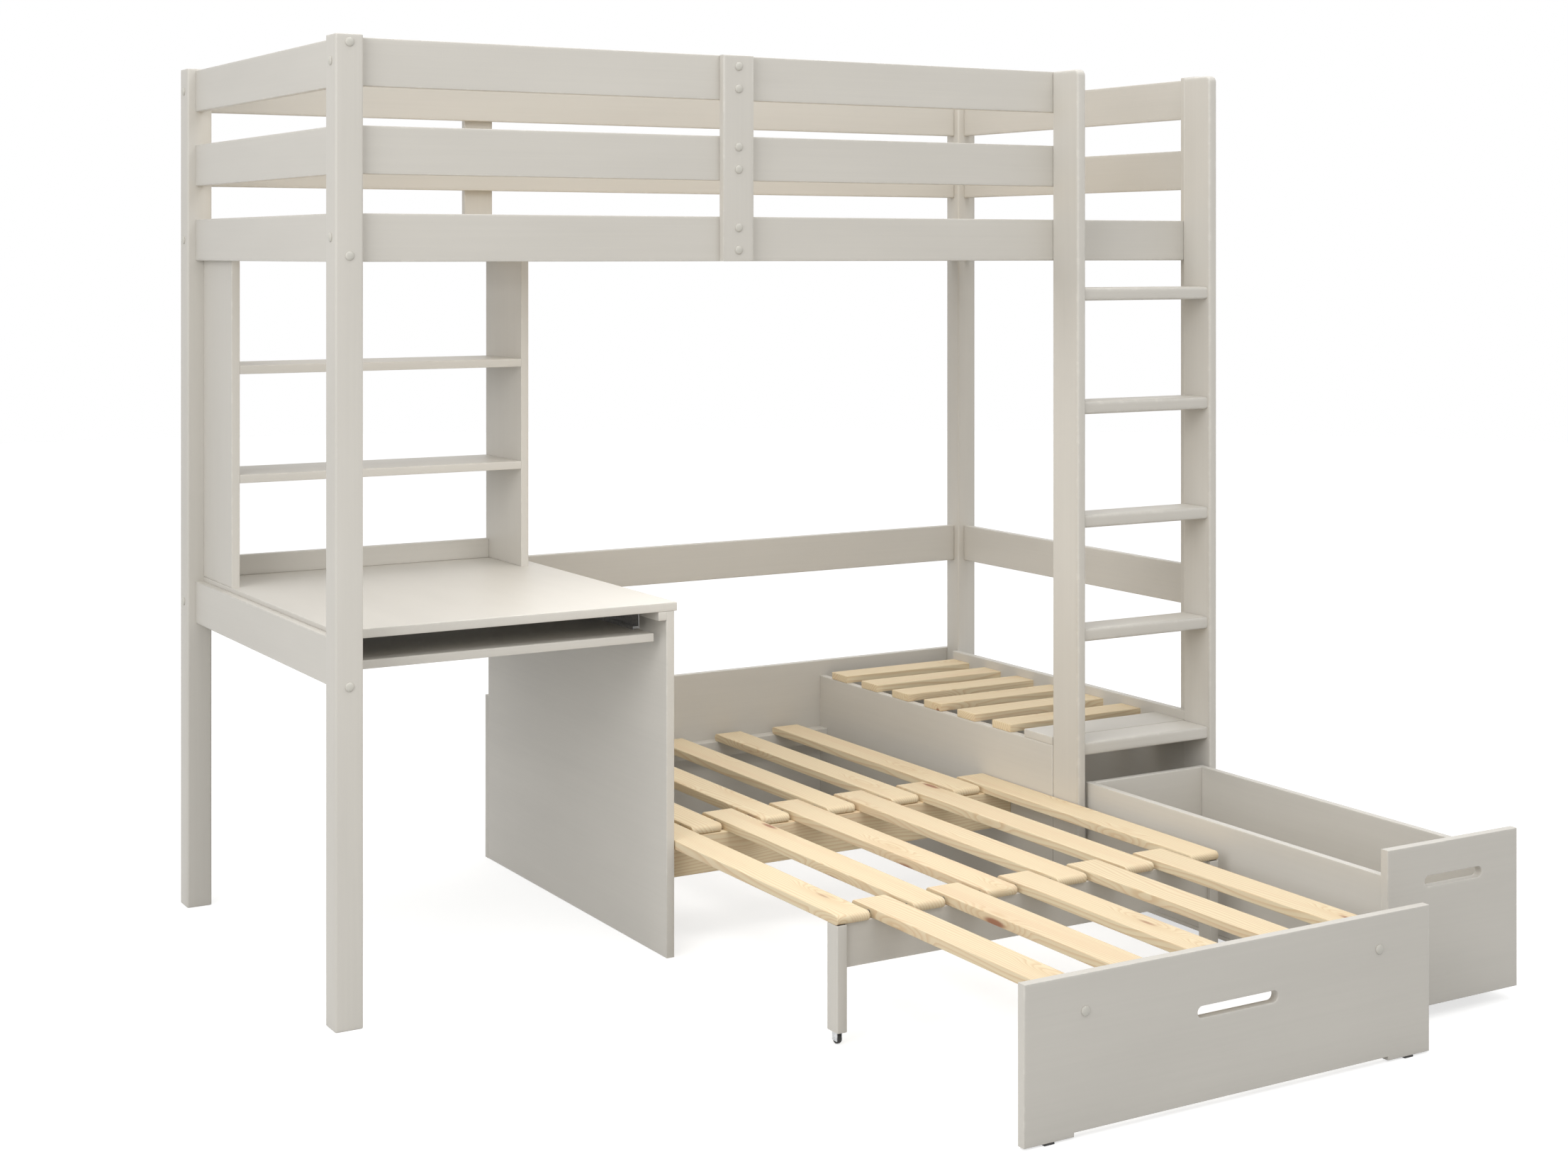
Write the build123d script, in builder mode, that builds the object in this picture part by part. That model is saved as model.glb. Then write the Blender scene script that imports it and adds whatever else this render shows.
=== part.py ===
# Loft bed with a desk, a shelf unit, a ladder, a bench with a drawer and a pull-out guest bed.
# Millimetres. +Z is up, +X runs along the bed to the right, -Y is the front.
# The origin is on the floor under the middle of the whole object as it stands with the
# guest bed and the drawer pulled out. Boards are named by where they sit.
import os

from build123d import *

os.makedirs("parts", exist_ok=True)

# Overall frame
overall_length = 2096.0      # outer faces of the left and right posts
overall_depth = 996.0        # outer faces of the front and back posts
post_height = 1830.0
post_size = 54.0             # square section
post_round = 4.5             # round on the upright edges
post_end_chamfer = 3.0

# Bed rails: three on each side, set in the middle of the posts
rail_thickness = 18.0
rail_height = 90.0
rail_gap = 72.5              # clear height between two rails
rail_top_drop = 4.0          # top rail below the post tops
rail_round = 2.0
low_rail_height = 91.0
low_rail_drop = 9.0          # low rail top below the desk surface

# Battens that tie the three rails together
batten_width = 70.0
batten_round = 2.0
front_batten_from_left = 812.0
back_batten_count = 2

# Bed base inside the rails
base_ledger_width = 30.0
base_ledger_height = 30.0
base_ledger_lift = 9.0       # above the bottom rail's lower edge
base_slat_width = 70.0
base_slat_thickness = 18.0
base_slat_count = 14
base_slat_end_gap = 20.0
base_slat_side_gap = 2.0

# Ladder
upright_thickness = 22.0
upright_depth = 90.0
upright_round = 5.0
upright_top_round = 14.0
ladder_clear_width = 349.0   # between the uprights
rung_thickness = 28.0
rung_depth = 80.0
rung_inset = 6.0             # behind the uprights' front edges
rung_count = 4
ladder_top_gap = 59.0        # last rung below the bottom rail
rung_round = 6.0

# Boards
board_thickness = 18.0       # desk, shelves, bench and drawer front
board_round = 1.5

# Bench beside the guest bed
seat_height = 364.0
step_thickness = 28.0
step_back = 122.0            # step's back edge, behind the posts' front face
bench_lip = 20.0             # outer board and back board above the seat
bench_slat_width = 70.0
bench_slat_count = 6
bench_slat_front_gap = 52.0  # behind the step
bench_slat_back_gap = 5.0    # before the back posts
bench_cleat_size = 18.0
bench_cleat_gap = 2.0

# Desk
desk_height = 720.0
desk_length = 719.0
desk_front_inset = 92.0      # behind the posts' front face
desk_overhang = 6.0          # past the side panel
desk_cleat_size = 18.0
desk_back_rail_height = 44.0

# Keyboard tray
tray_thickness = 17.0
tray_depth = 400.0
tray_drop = 45.0             # tray top below the desk's underside
tray_front_inset = 20.0      # behind the desk's front edge
tray_side_gap = 19.0
runner_sheet = 2.0
runner_inset = 2.0           # hanger in from the tray's edge
runner_lip = 12.0            # hanger's lip that carries the bar
runner_lift = 2.0            # lip above the tray
runner_clearance = 0.5
runner_front_inset = 60.0    # runner starts behind the tray's front edge
runner_back_short = 5.0      # runner ends before the tray's back edge

# Shelf unit on the desk
shelf_length = 684.0         # outer faces of the two sides
shelf_depth = 200.0
shelf_top_lap = 7.0          # shelf sides reach above the bottom rail's lower edge
shelf_lower_lift = 220.0     # underside above the desk
shelf_upper_lift = 451.0

# Guest bed
guest_slat_gap = 12.5        # between two slats side by side
guest_slat_thickness = 18.0
guest_slat_round = 8.9       # ends rounded over the thickness
guest_slat_count = 11        # odd: the outer ones belong to the moving rear set
guest_pin_radius = 4.0
guest_pin_inset = 60.0       # pins in from the slats' back ends
guest_pin_clearance = 0.3
guest_top = 235.0            # top of the slats
guest_side_gap = 2.5         # between the pull-out frame and the panels
guest_travel = 615.0
guest_closed_gap = 2.0       # between the two slat sets when pushed in
guest_fixed_back_gap = 21.0  # fixed slats to the back board
guest_apron_inset = 172.0    # fixed apron behind the posts' front face
guest_apron_height = 80.0
guest_front_slat_length = 627.0
guest_slat_overlap = 85.0    # rear slats reach past the front slats' back ends
guest_apron_from_front = 10.0  # moving apron behind the rear slats' front ends
guest_rear_clear = 60.0      # rear slats to the back ledger when pushed in
guest_ledger_size = 36.0
guest_rear_batten_width = 45.0
guest_rear_batten_height = 18.0
guest_panel_height = 264.0
guest_panel_ledger_size = 30.0
guest_panel_ledger_inset = 90.0  # ledger's ends in from the panel's ends
guest_foot_width = 100.0
guest_foot_lift = 10.0
guest_glide_height = 3.0
guest_glide_radius = 10.0
guest_handle_length = 178.0
guest_handle_height = 20.0
guest_handle_z = 160.0
guest_cap_spacing = 650.0
guest_cap_z = 203.0
leg_thickness = 21.0
leg_depth = 36.0
leg_round = 2.0
caster_radius = 10.0
caster_width = 8.0
caster_axle_radius = 2.0
caster_sheet = 1.5
caster_top_gap = 1.5
caster_side_gap = 0.5
caster_fork_depth = 16.0
caster_fork_drop = 4.0       # fork reaches this far below the axle

# Drawer under the bench
drawer_front_gap = 4.5       # each side of the front, to the uprights
drawer_length = 900.0
drawer_back_reach = 6.0      # back end stays this far behind the step's front edge when out
drawer_front_bottom = 25.0
drawer_front_top_gap = 9.0   # below the step
drawer_side_inset = 4.5      # box side in from the front's edge
drawer_side_thickness = 16.0
drawer_side_top = 277.0
drawer_base_thickness = 8.0
drawer_base_bottom = 45.0
drawer_handle_length = 150.0
drawer_handle_height = 20.0
drawer_handle_z = 257.0
drawer_wheel_radius = 18.0
drawer_wheel_width = 14.0
drawer_wheel_inset = 25.0    # wheel's middle in from the box side
drawer_wheel_from_end = 60.0
drawer_axle_radius = 3.0
drawer_bracket_sheet = 3.0
drawer_bracket_length = 26.0
drawer_bracket_side_gap = 1.0
drawer_bracket_drop = 6.0

# Fasteners
bolt_radius = 4.0
bolt_head_radius = 6.5
bolt_head_height = 8.0
bolt_reach = 38.0            # into the rail's end
bolt_hole_clearance = 0.2
counterbore_radius = 7.0
counterbore_depth = 9.0
end_bolt_inset = 11.0        # bolts of the end rails, from the rail's edge
cap_radius = 8.5
cap_height = 4.0
panel_bolt_radius = 3.0
panel_bolt_reach = 24.0
running_clearance = 0.05

# Places along X
x_left = -overall_length / 2
x_right = overall_length / 2
x_post_l = x_left + post_size            # inner face of the left posts
x_post_r = x_right - post_size           # inner face of the right posts
rail_set_in = (post_size - rail_thickness) / 2
x_rail_l = x_left + rail_set_in
x_rail_r = x_right - rail_set_in - rail_thickness
x_clear_r = x_post_r - upright_thickness           # ladder, right edge of the opening
x_clear_l = x_clear_r - ladder_clear_width
x_upright_l = x_clear_l - upright_thickness
x_upright_r = x_clear_r
x_bench_l = x_upright_l                            # bench side panel
x_bench_in = x_bench_l + board_thickness
x_bench_r = x_post_r - board_thickness             # bench outer board
x_desk_l = x_rail_l + rail_thickness
x_desk_r = x_desk_l + desk_length
x_panel_r = x_desk_r - desk_overhang               # desk side panel
x_panel_l = x_panel_r - board_thickness
x_guest_l = x_panel_r + guest_side_gap
x_guest_r = x_bench_l - guest_side_gap
guest_width = x_guest_r - x_guest_l
guest_middle = (x_guest_l + x_guest_r) / 2
guest_pitch = (guest_width + guest_slat_gap) / guest_slat_count
guest_slat_width = guest_pitch - guest_slat_gap
x_tray_l = x_desk_l + tray_side_gap
x_tray_r = x_panel_l - tray_side_gap
x_drawer_l = x_clear_l + drawer_front_gap
x_drawer_r = x_clear_r - drawer_front_gap
drawer_middle = (x_drawer_l + x_drawer_r) / 2
x_box_l = x_drawer_l + drawer_side_inset
x_box_r = x_drawer_r - drawer_side_inset

# Places along Y, from the posts' front face
guest_slat_gap_y = guest_apron_inset - guest_closed_gap - guest_travel
guest_extension = guest_front_slat_length + board_thickness - guest_slat_gap_y
y_front = (guest_extension + cap_height - overall_depth - board_thickness) / 2
y_back = y_front + overall_depth
y_post_f = y_front + post_size
y_post_b = y_back - post_size
y_rail_f = y_front + rail_set_in
y_rail_b = y_back - rail_set_in - rail_thickness
y_upright = y_rail_f - upright_depth
y_rung = y_upright + rung_inset
y_step_back = y_front + step_back
y_desk = y_front + desk_front_inset
y_tray = y_desk + tray_front_inset
y_shelf = y_post_b - shelf_depth
y_apron = y_front + guest_apron_inset
y_ledger = y_back - guest_ledger_size
y_front_slats_end = y_front + guest_slat_gap_y
y_front_slats = y_front_slats_end - guest_front_slat_length
y_guest_panel = y_front_slats - board_thickness
y_rear_slats = y_front_slats_end - guest_slat_overlap
y_rear_slats_end = y_ledger - guest_rear_clear - guest_travel
y_moving_apron = y_rear_slats + guest_apron_from_front
y_leg = y_moving_apron + board_thickness / 2 - leg_depth / 2
drawer_travel = drawer_length - drawer_back_reach
y_drawer = y_rung - drawer_travel
y_box = y_drawer + board_thickness
y_box_end = y_drawer + drawer_length

# Heights
z_rail_top = post_height - rail_top_drop
z_rail_3 = z_rail_top - rail_height
z_rail_2 = z_rail_3 - rail_gap - rail_height
z_rail_1 = z_rail_2 - rail_gap - rail_height
rung_pitch = (z_rail_1 - ladder_top_gap - seat_height) / rung_count
shelf_side_height = z_rail_1 + shelf_top_lap - desk_height
z_desk = desk_height - board_thickness
z_low_top = desk_height - low_rail_drop
z_low = z_low_top - low_rail_height
z_seat = seat_height - board_thickness
z_step = seat_height - step_thickness
z_lip = seat_height + bench_lip
z_base_ledger = z_rail_1 + base_ledger_lift
z_base_slats = z_base_ledger + base_ledger_height
z_tray = z_desk - tray_drop - tray_thickness
z_runner = z_tray + tray_thickness + runner_lift
z_guest = guest_top - guest_slat_thickness
z_apron = z_guest - guest_apron_height
z_fork = 2 * caster_radius + caster_top_gap
z_leg = z_fork + caster_sheet
z_drawer_top = z_step - drawer_front_top_gap
z_box = drawer_base_bottom + drawer_base_thickness
z_drawer_plate = drawer_base_bottom - drawer_bracket_sheet

rail_levels = [z_rail_3, z_rail_2, z_rail_1]
low = (Align.MIN, Align.MIN)

# Bolts: a point on a post's outer face, the direction into the post, and what they pull in
z_side_bolts = [z_rail_3 + rail_height / 2, z_rail_1 + rail_height / 2, z_low + low_rail_height / 2]
z_end_bolts = [z_rail_top - end_bolt_inset, z_rail_1 + end_bolt_inset, z_low + end_bolt_inset]
post_middle = post_size / 2
left_in, right_in, front_in, back_in = (1, 0, 0), (-1, 0, 0), (0, 1, 0), (0, -1, 0)
side_bolts = {
    "post_front_left": [(x_left, y_front + post_middle, z, left_in) for z in z_side_bolts[:2]],
    "post_back_left": [(x_left, y_back - post_middle, z, left_in) for z in z_side_bolts],
    "post_front_right": [(x_right, y_front + post_middle, z_side_bolts[1], right_in)],
    "post_back_right": [(x_right, y_back - post_middle, z, right_in) for z in z_side_bolts],
}
end_bolts = {
    "post_front_left": [(x_left + post_middle, y_front, z, front_in) for z in z_end_bolts],
    "post_back_left": [(x_left + post_middle, y_back, z, back_in) for z in z_end_bolts],
    "post_front_right": [(x_right - post_middle, y_front, z, front_in) for z in z_end_bolts],
    "post_back_right": [(x_right - post_middle, y_back, z, back_in) for z in z_end_bolts],
}
post_corners = {
    "post_front_left": (x_left, y_front),
    "post_back_left": (x_left, y_post_b),
    "post_front_right": (x_post_r, y_front),
    "post_back_right": (x_post_r, y_post_b),
}
all_bolts = []
for post_name in post_corners:
    all_bolts = all_bolts + side_bolts[post_name] + end_bolts[post_name]

# Posts, with a counterbored hole for each bolt
for post_name, corner in post_corners.items():
    with BuildPart() as post:
        with BuildSketch(Plane.XY):
            with Locations(corner):
                Rectangle(post_size, post_size, align=low)
        extrude(amount=post_height)
        fillet(post.edges().filter_by(Axis.Z), post_round)
        chamfer(post.faces().sort_by(Axis.Z)[0].edges(), post_end_chamfer)
        chamfer(post.faces().sort_by(Axis.Z)[-1].edges(), post_end_chamfer / 2)
        for x, y, z, inward in side_bolts[post_name] + end_bolts[post_name]:
            with BuildSketch(Plane(origin=(x, y, z), z_dir=inward)):
                Circle(counterbore_radius)
            extrude(amount=counterbore_depth, mode=Mode.SUBTRACT)
            with BuildSketch(Plane(origin=(x, y, z), z_dir=inward)):
                Circle(bolt_radius + bolt_hole_clearance)
            extrude(amount=post_size, mode=Mode.SUBTRACT)
    post.part.label = post_name
    export_step(post.part, f"parts/{post_name}.step")

# Front rails: the two upper ones stop at the ladder, the bottom one runs the whole way
front_rails = {
    "rail_front_top": (z_rail_3, x_clear_l, side_bolts["post_front_left"][:1]),
    "rail_front_middle": (z_rail_2, x_clear_l, []),
    "rail_front_bottom": (
        z_rail_1,
        x_post_r,
        side_bolts["post_front_left"][1:] + side_bolts["post_front_right"],
    ),
}
for rail_name, (z_rail, x_end, bolts) in front_rails.items():
    with BuildPart() as rail:
        with BuildSketch(Plane.XY.offset(z_rail)):
            with Locations((x_post_l, y_rail_f)):
                Rectangle(x_end - x_post_l, rail_thickness, align=low)
        extrude(amount=rail_height)
        fillet(rail.edges().filter_by(Axis.X), rail_round)
        for x, y, z, inward in bolts:
            with BuildSketch(Plane(origin=(x, y, z), z_dir=inward).offset(post_size)):
                Circle(bolt_radius + bolt_hole_clearance)
            extrude(amount=bolt_reach + 2, mode=Mode.SUBTRACT)
    rail.part.label = rail_name
    export_step(rail.part, f"parts/{rail_name}.step")

# Back rails
with BuildPart() as rails_back:
    for z_rail in rail_levels:
        with BuildSketch(Plane.XY.offset(z_rail)):
            with Locations((x_post_l, y_rail_b)):
                Rectangle(x_post_r - x_post_l, rail_thickness, align=low)
        extrude(amount=rail_height)
    fillet(rails_back.edges().filter_by(Axis.X), rail_round)
    for x, y, z, inward in side_bolts["post_back_left"][:2] + side_bolts["post_back_right"][:2]:
        with BuildSketch(Plane(origin=(x, y, z), z_dir=inward).offset(post_size)):
            Circle(bolt_radius + bolt_hole_clearance)
        extrude(amount=bolt_reach + 2, mode=Mode.SUBTRACT)
rails_back.part.label = "rails_back"
export_step(rails_back.part, "parts/rails_back.step")

# End rails, left and right
end_rails = {
    "rails_left_end": (x_rail_l, end_bolts["post_front_left"] + end_bolts["post_back_left"]),
    "rails_right_end": (x_rail_r, end_bolts["post_front_right"] + end_bolts["post_back_right"]),
}
for rail_name, (x_rail, bolts) in end_rails.items():
    with BuildPart() as rails:
        for z_rail in rail_levels:
            with BuildSketch(Plane.XY.offset(z_rail)):
                with Locations((x_rail, y_post_f)):
                    Rectangle(rail_thickness, y_post_b - y_post_f, align=low)
            extrude(amount=rail_height)
        fillet(rails.edges().filter_by(Axis.Y), rail_round)
        for x, y, z, inward in bolts:
            if z > z_low_top:
                with BuildSketch(Plane(origin=(x, y, z), z_dir=inward).offset(post_size)):
                    Circle(bolt_radius + bolt_hole_clearance)
                extrude(amount=bolt_reach + 2, mode=Mode.SUBTRACT)
    rails.part.label = rail_name
    export_step(rails.part, f"parts/{rail_name}.step")

# Low rails at desk height: left end, back and right end
low_bolts = [side_bolts["post_back_left"][2], side_bolts["post_back_right"][2]]
for post_name in post_corners:
    low_bolts.append(end_bolts[post_name][2])
with BuildPart() as low_rails:
    with BuildSketch(Plane.XY.offset(z_low)):
        with Locations((x_rail_l, y_post_f), (x_rail_r, y_post_f)):
            Rectangle(rail_thickness, y_post_b - y_post_f, align=low)
    extrude(amount=low_rail_height)
    fillet(low_rails.edges().filter_by(Axis.Y), rail_round)
    with BuildSketch(Plane.XY.offset(z_low)):
        with Locations((x_post_l, y_rail_b)):
            Rectangle(x_post_r - x_post_l, rail_thickness, align=low)
    extrude(amount=low_rail_height)
    fillet(low_rails.edges().filter_by(Axis.X).filter_by(lambda edge: edge.length > post_size), rail_round)
    for x, y, z, inward in low_bolts:
        with BuildSketch(Plane(origin=(x, y, z), z_dir=inward).offset(post_size)):
            Circle(bolt_radius + bolt_hole_clearance)
        extrude(amount=bolt_reach + 2, mode=Mode.SUBTRACT)
low_rails.part.label = "low_rails"
export_step(low_rails.part, "parts/low_rails.step")

# Battens across the rails: one on the front, the others on the back at even steps
with BuildPart() as batten_front:
    with BuildSketch(Plane.XY.offset(z_rail_1)):
        with Locations((x_left + front_batten_from_left, y_front)):
            Rectangle(batten_width, y_rail_f - y_front, align=low)
    extrude(amount=z_rail_top - z_rail_1)
    fillet(batten_front.faces().sort_by(Axis.Y)[0].edges(), batten_round)
batten_front.part.label = "batten_front"
export_step(batten_front.part, "parts/batten_front.step")

with BuildPart() as battens_back:
    for step in range(1, back_batten_count + 1):
        x_batten = x_left + overall_length * step / (back_batten_count + 1)
        with BuildSketch(Plane.XY.offset(z_rail_1)):
            with Locations((x_batten - batten_width / 2, y_rail_b + rail_thickness)):
                Rectangle(batten_width, rail_set_in, align=low)
        extrude(amount=z_rail_top - z_rail_1)
    fillet(battens_back.edges().filter_by(Axis.Z).group_by(Axis.Y)[-1], batten_round)
battens_back.part.label = "battens_back"
export_step(battens_back.part, "parts/battens_back.step")

# Bed base: two ledgers on the bottom rails and cross slats
y_base = y_rail_f + rail_thickness
with BuildPart() as bed_base_ledgers:
    for y_ledger_front in (y_base, y_rail_b - base_ledger_width):
        with BuildSketch(Plane.XY.offset(z_base_ledger)):
            with Locations((x_post_l, y_ledger_front)):
                Rectangle(x_post_r - x_post_l, base_ledger_width, align=low)
        extrude(amount=base_ledger_height)
bed_base_ledgers.part.label = "bed_base_ledgers"
export_step(bed_base_ledgers.part, "parts/bed_base_ledgers.step")

base_pitch = (x_post_r - x_post_l - 2 * base_slat_end_gap - base_slat_width) / (base_slat_count - 1)
with BuildPart() as bed_base_slats:
    for slat in range(base_slat_count):
        with BuildSketch(Plane.XY.offset(z_base_slats)):
            with Locations((x_post_l + base_slat_end_gap + base_pitch * slat, y_base + base_slat_side_gap)):
                Rectangle(base_slat_width, y_rail_b - y_base - 2 * base_slat_side_gap, align=low)
        extrude(amount=base_slat_thickness)
bed_base_slats.part.label = "bed_base_slats"
export_step(bed_base_slats.part, "parts/bed_base_slats.step")

# Ladder uprights, from the floor to the rails' top
for upright_name, x_upright in (("ladder_upright_left", x_upright_l), ("ladder_upright_right", x_upright_r)):
    with BuildPart() as upright:
        with BuildSketch(Plane.YZ.offset(x_upright)):
            with Locations((y_upright, 0)):
                Rectangle(upright_depth, z_rail_top, align=low)
        extrude(amount=upright_thickness)
        fillet(upright.edges().filter_by(Axis.X).group_by(Axis.Z)[-1].sort_by(Axis.Y)[0], upright_top_round)
        fillet(upright.edges().filter_by(Axis.Z).group_by(Axis.Y)[0], upright_round)
    upright.part.label = upright_name
    export_step(upright.part, f"parts/{upright_name}.step")

# Rungs
with BuildPart() as ladder_rungs:
    for rung in range(1, rung_count + 1):
        with BuildSketch(Plane.XY.offset(seat_height + rung_pitch * rung - rung_thickness)):
            with Locations((x_clear_l, y_rung)):
                Rectangle(ladder_clear_width, rung_depth, align=low)
        extrude(amount=rung_thickness)
    fillet(ladder_rungs.edges().filter_by(Axis.X), rung_round)
ladder_rungs.part.label = "ladder_rungs"
export_step(ladder_rungs.part, "parts/ladder_rungs.step")

# Step board: thick between the uprights, and behind them a thinner part that laps the bench
with BuildPart() as step_board:
    with BuildSketch(Plane.XY.offset(z_step)):
        with Locations((x_clear_l, y_rung)):
            Rectangle(ladder_clear_width, y_step_back - y_rung, align=low)
    extrude(amount=step_thickness)
    fillet(step_board.edges().filter_by(Axis.X).group_by(Axis.Y)[0], rung_round)
    with BuildSketch(Plane.XY.offset(z_seat)):
        with Locations((x_bench_l, y_rail_f)):
            Rectangle(x_bench_r - x_bench_l, y_step_back - y_rail_f, align=low)
    extrude(amount=seat_height - z_seat)
step_board.part.label = "step_board"
export_step(step_board.part, "parts/step_board.step")

# Desk
with BuildPart() as desk_top:
    with BuildSketch(Plane.XY.offset(z_desk)):
        with Locations((x_desk_l, y_desk)):
            Rectangle(desk_length, y_post_b - y_desk, align=low)
    extrude(amount=board_thickness)
    fillet(desk_top.faces().sort_by(Axis.Y)[0].edges().filter_by(Axis.X), board_round)
desk_top.part.label = "desk_top"
export_step(desk_top.part, "parts/desk_top.step")

# The side panel is notched round the low back rail
with BuildPart() as desk_side_panel:
    with BuildSketch(Plane.XY):
        with Locations((x_panel_l, y_desk)):
            Rectangle(board_thickness, y_back - y_desk, align=low)
    extrude(amount=z_desk)
    fillet(desk_side_panel.faces().sort_by(Axis.Y)[0].edges().filter_by(Axis.Z), board_round)
    with BuildSketch(Plane.XY.offset(z_low)):
        with Locations((x_panel_l, y_rail_b)):
            Rectangle(board_thickness, y_back - y_rail_b, align=low)
    extrude(amount=z_desk - z_low, mode=Mode.SUBTRACT)
desk_side_panel.part.label = "desk_side_panel"
export_step(desk_side_panel.part, "parts/desk_side_panel.step")

with BuildPart() as desk_cleats:
    with BuildSketch(Plane.XY.offset(z_desk - desk_cleat_size)):
        with Locations((x_desk_l, y_desk), (x_panel_l - desk_cleat_size, y_desk)):
            Rectangle(desk_cleat_size, y_post_b - y_desk, align=low)
    extrude(amount=desk_cleat_size)
desk_cleats.part.label = "desk_cleats"
export_step(desk_cleats.part, "parts/desk_cleats.step")

with BuildPart() as keyboard_tray:
    with BuildSketch(Plane.XY.offset(z_tray)):
        with Locations((x_tray_l, y_tray)):
            Rectangle(x_tray_r - x_tray_l, tray_depth, align=low)
    extrude(amount=tray_thickness)
    fillet(keyboard_tray.faces().sort_by(Axis.Y)[0].edges().filter_by(Axis.X), board_round)
keyboard_tray.part.label = "keyboard_tray"
export_step(keyboard_tray.part, "parts/keyboard_tray.step")

# Tray runners: a hanger under each side of the desk, and an angle bar on the tray over its lip
y_runner = y_tray + runner_front_inset
runner_length = tray_depth - runner_front_inset - runner_back_short
z_bar = z_runner + runner_sheet + runner_clearance
bar_start = runner_inset + runner_sheet + runner_clearance
bar_end = runner_inset + runner_lip + runner_clearance + runner_sheet
upward = (Align.CENTER, Align.MIN)
with BuildPart() as tray_channels:
    with BuildSketch(Plane.XZ.offset(-y_runner)):
        for x_edge, side in ((x_tray_l, 1), (x_tray_r, -1)):
            with Locations((x_edge + side * (runner_inset + runner_sheet / 2), z_runner)):
                Rectangle(runner_sheet, z_desk - z_runner, align=upward)
            with Locations((x_edge + side * (runner_inset + runner_lip / 2), z_runner)):
                Rectangle(runner_lip, runner_sheet, align=upward)
    extrude(amount=-runner_length)
tray_channels.part.label = "tray_channels"
export_step(tray_channels.part, "parts/tray_channels.step")

with BuildPart() as tray_bars:
    with BuildSketch(Plane.XZ.offset(-y_runner)):
        for x_edge, side in ((x_tray_l, 1), (x_tray_r, -1)):
            with Locations((x_edge + side * (bar_end - runner_sheet / 2), z_tray + tray_thickness)):
                Rectangle(runner_sheet, z_bar + runner_sheet - z_tray - tray_thickness, align=upward)
            with Locations((x_edge + side * (bar_start + bar_end) / 2, z_bar)):
                Rectangle(bar_end - bar_start, runner_sheet, align=upward)
    extrude(amount=-runner_length)
tray_bars.part.label = "tray_bars"
export_step(tray_bars.part, "parts/tray_bars.step")

# Shelf unit
x_shelf_l = x_desk_l + board_thickness
x_shelf_r = x_desk_l + shelf_length - board_thickness
for side_name, x_side in (("shelf_side_left", x_desk_l), ("shelf_side_right", x_shelf_r)):
    with BuildPart() as shelf_side:
        with BuildSketch(Plane.XY.offset(desk_height)):
            with Locations((x_side, y_shelf)):
                Rectangle(board_thickness, shelf_depth, align=low)
        extrude(amount=shelf_side_height)
        fillet(shelf_side.edges().filter_by(Axis.Z).group_by(Axis.Y)[0], board_round)
    shelf_side.part.label = side_name
    export_step(shelf_side.part, f"parts/{side_name}.step")

with BuildPart() as shelves:
    for lift in (shelf_lower_lift, shelf_upper_lift):
        with BuildSketch(Plane.XY.offset(desk_height + lift)):
            with Locations((x_shelf_l, y_shelf)):
                Rectangle(x_shelf_r - x_shelf_l, shelf_depth, align=low)
        extrude(amount=board_thickness)
    fillet(shelves.edges().filter_by(Axis.X).group_by(Axis.Y)[0], board_round)
shelves.part.label = "shelves"
export_step(shelves.part, "parts/shelves.step")

with BuildPart() as desk_back_rail:
    with BuildSketch(Plane.XY.offset(desk_height)):
        with Locations((x_shelf_l, y_post_b - board_thickness)):
            Rectangle(x_shelf_r - x_shelf_l, board_thickness, align=low)
    extrude(amount=desk_back_rail_height)
    fillet(desk_back_rail.edges().filter_by(Axis.X).group_by(Axis.Z)[-1], board_round)
desk_back_rail.part.label = "desk_back_rail"
export_step(desk_back_rail.part, "parts/desk_back_rail.step")

# Back board behind the guest bed and the bench
with BuildPart() as back_board:
    with BuildSketch(Plane.XY):
        with Locations((x_panel_l, y_back)):
            Rectangle(x_right - x_panel_l, board_thickness, align=low)
    extrude(amount=z_lip)
    fillet(back_board.edges().filter_by(Axis.X).group_by(Axis.Z)[-1], board_round)
back_board.part.label = "back_board"
export_step(back_board.part, "parts/back_board.step")

# Bench
with BuildPart() as bench_side_panel:
    with BuildSketch(Plane.XY):
        with Locations((x_bench_l, y_rail_f)):
            Rectangle(board_thickness, y_back - y_rail_f, align=low)
    extrude(amount=z_seat)
bench_side_panel.part.label = "bench_side_panel"
export_step(bench_side_panel.part, "parts/bench_side_panel.step")

with BuildPart() as bench_outer_board:
    with BuildSketch(Plane.XY):
        with Locations((x_bench_r, y_rail_f)):
            Rectangle(board_thickness, y_post_b - y_rail_f, align=low)
    extrude(amount=z_lip)
    fillet(bench_outer_board.edges().filter_by(Axis.Y).group_by(Axis.Z)[-1], board_round)
bench_outer_board.part.label = "bench_outer_board"
export_step(bench_outer_board.part, "parts/bench_outer_board.step")

y_bench_slats = y_step_back + bench_slat_front_gap
bench_pitch = (y_post_b - bench_slat_back_gap - bench_slat_width - y_bench_slats) / (bench_slat_count - 1)
with BuildPart() as bench_slats:
    for slat in range(bench_slat_count):
        with BuildSketch(Plane.XY.offset(z_seat)):
            with Locations((x_bench_l, y_bench_slats + bench_pitch * slat)):
                Rectangle(x_bench_r - x_bench_l, bench_slat_width, align=low)
        extrude(amount=seat_height - z_seat)
    fillet(bench_slats.edges().filter_by(Axis.X).group_by(Axis.Z)[-1], board_round)
bench_slats.part.label = "bench_slats"
export_step(bench_slats.part, "parts/bench_slats.step")

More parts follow.
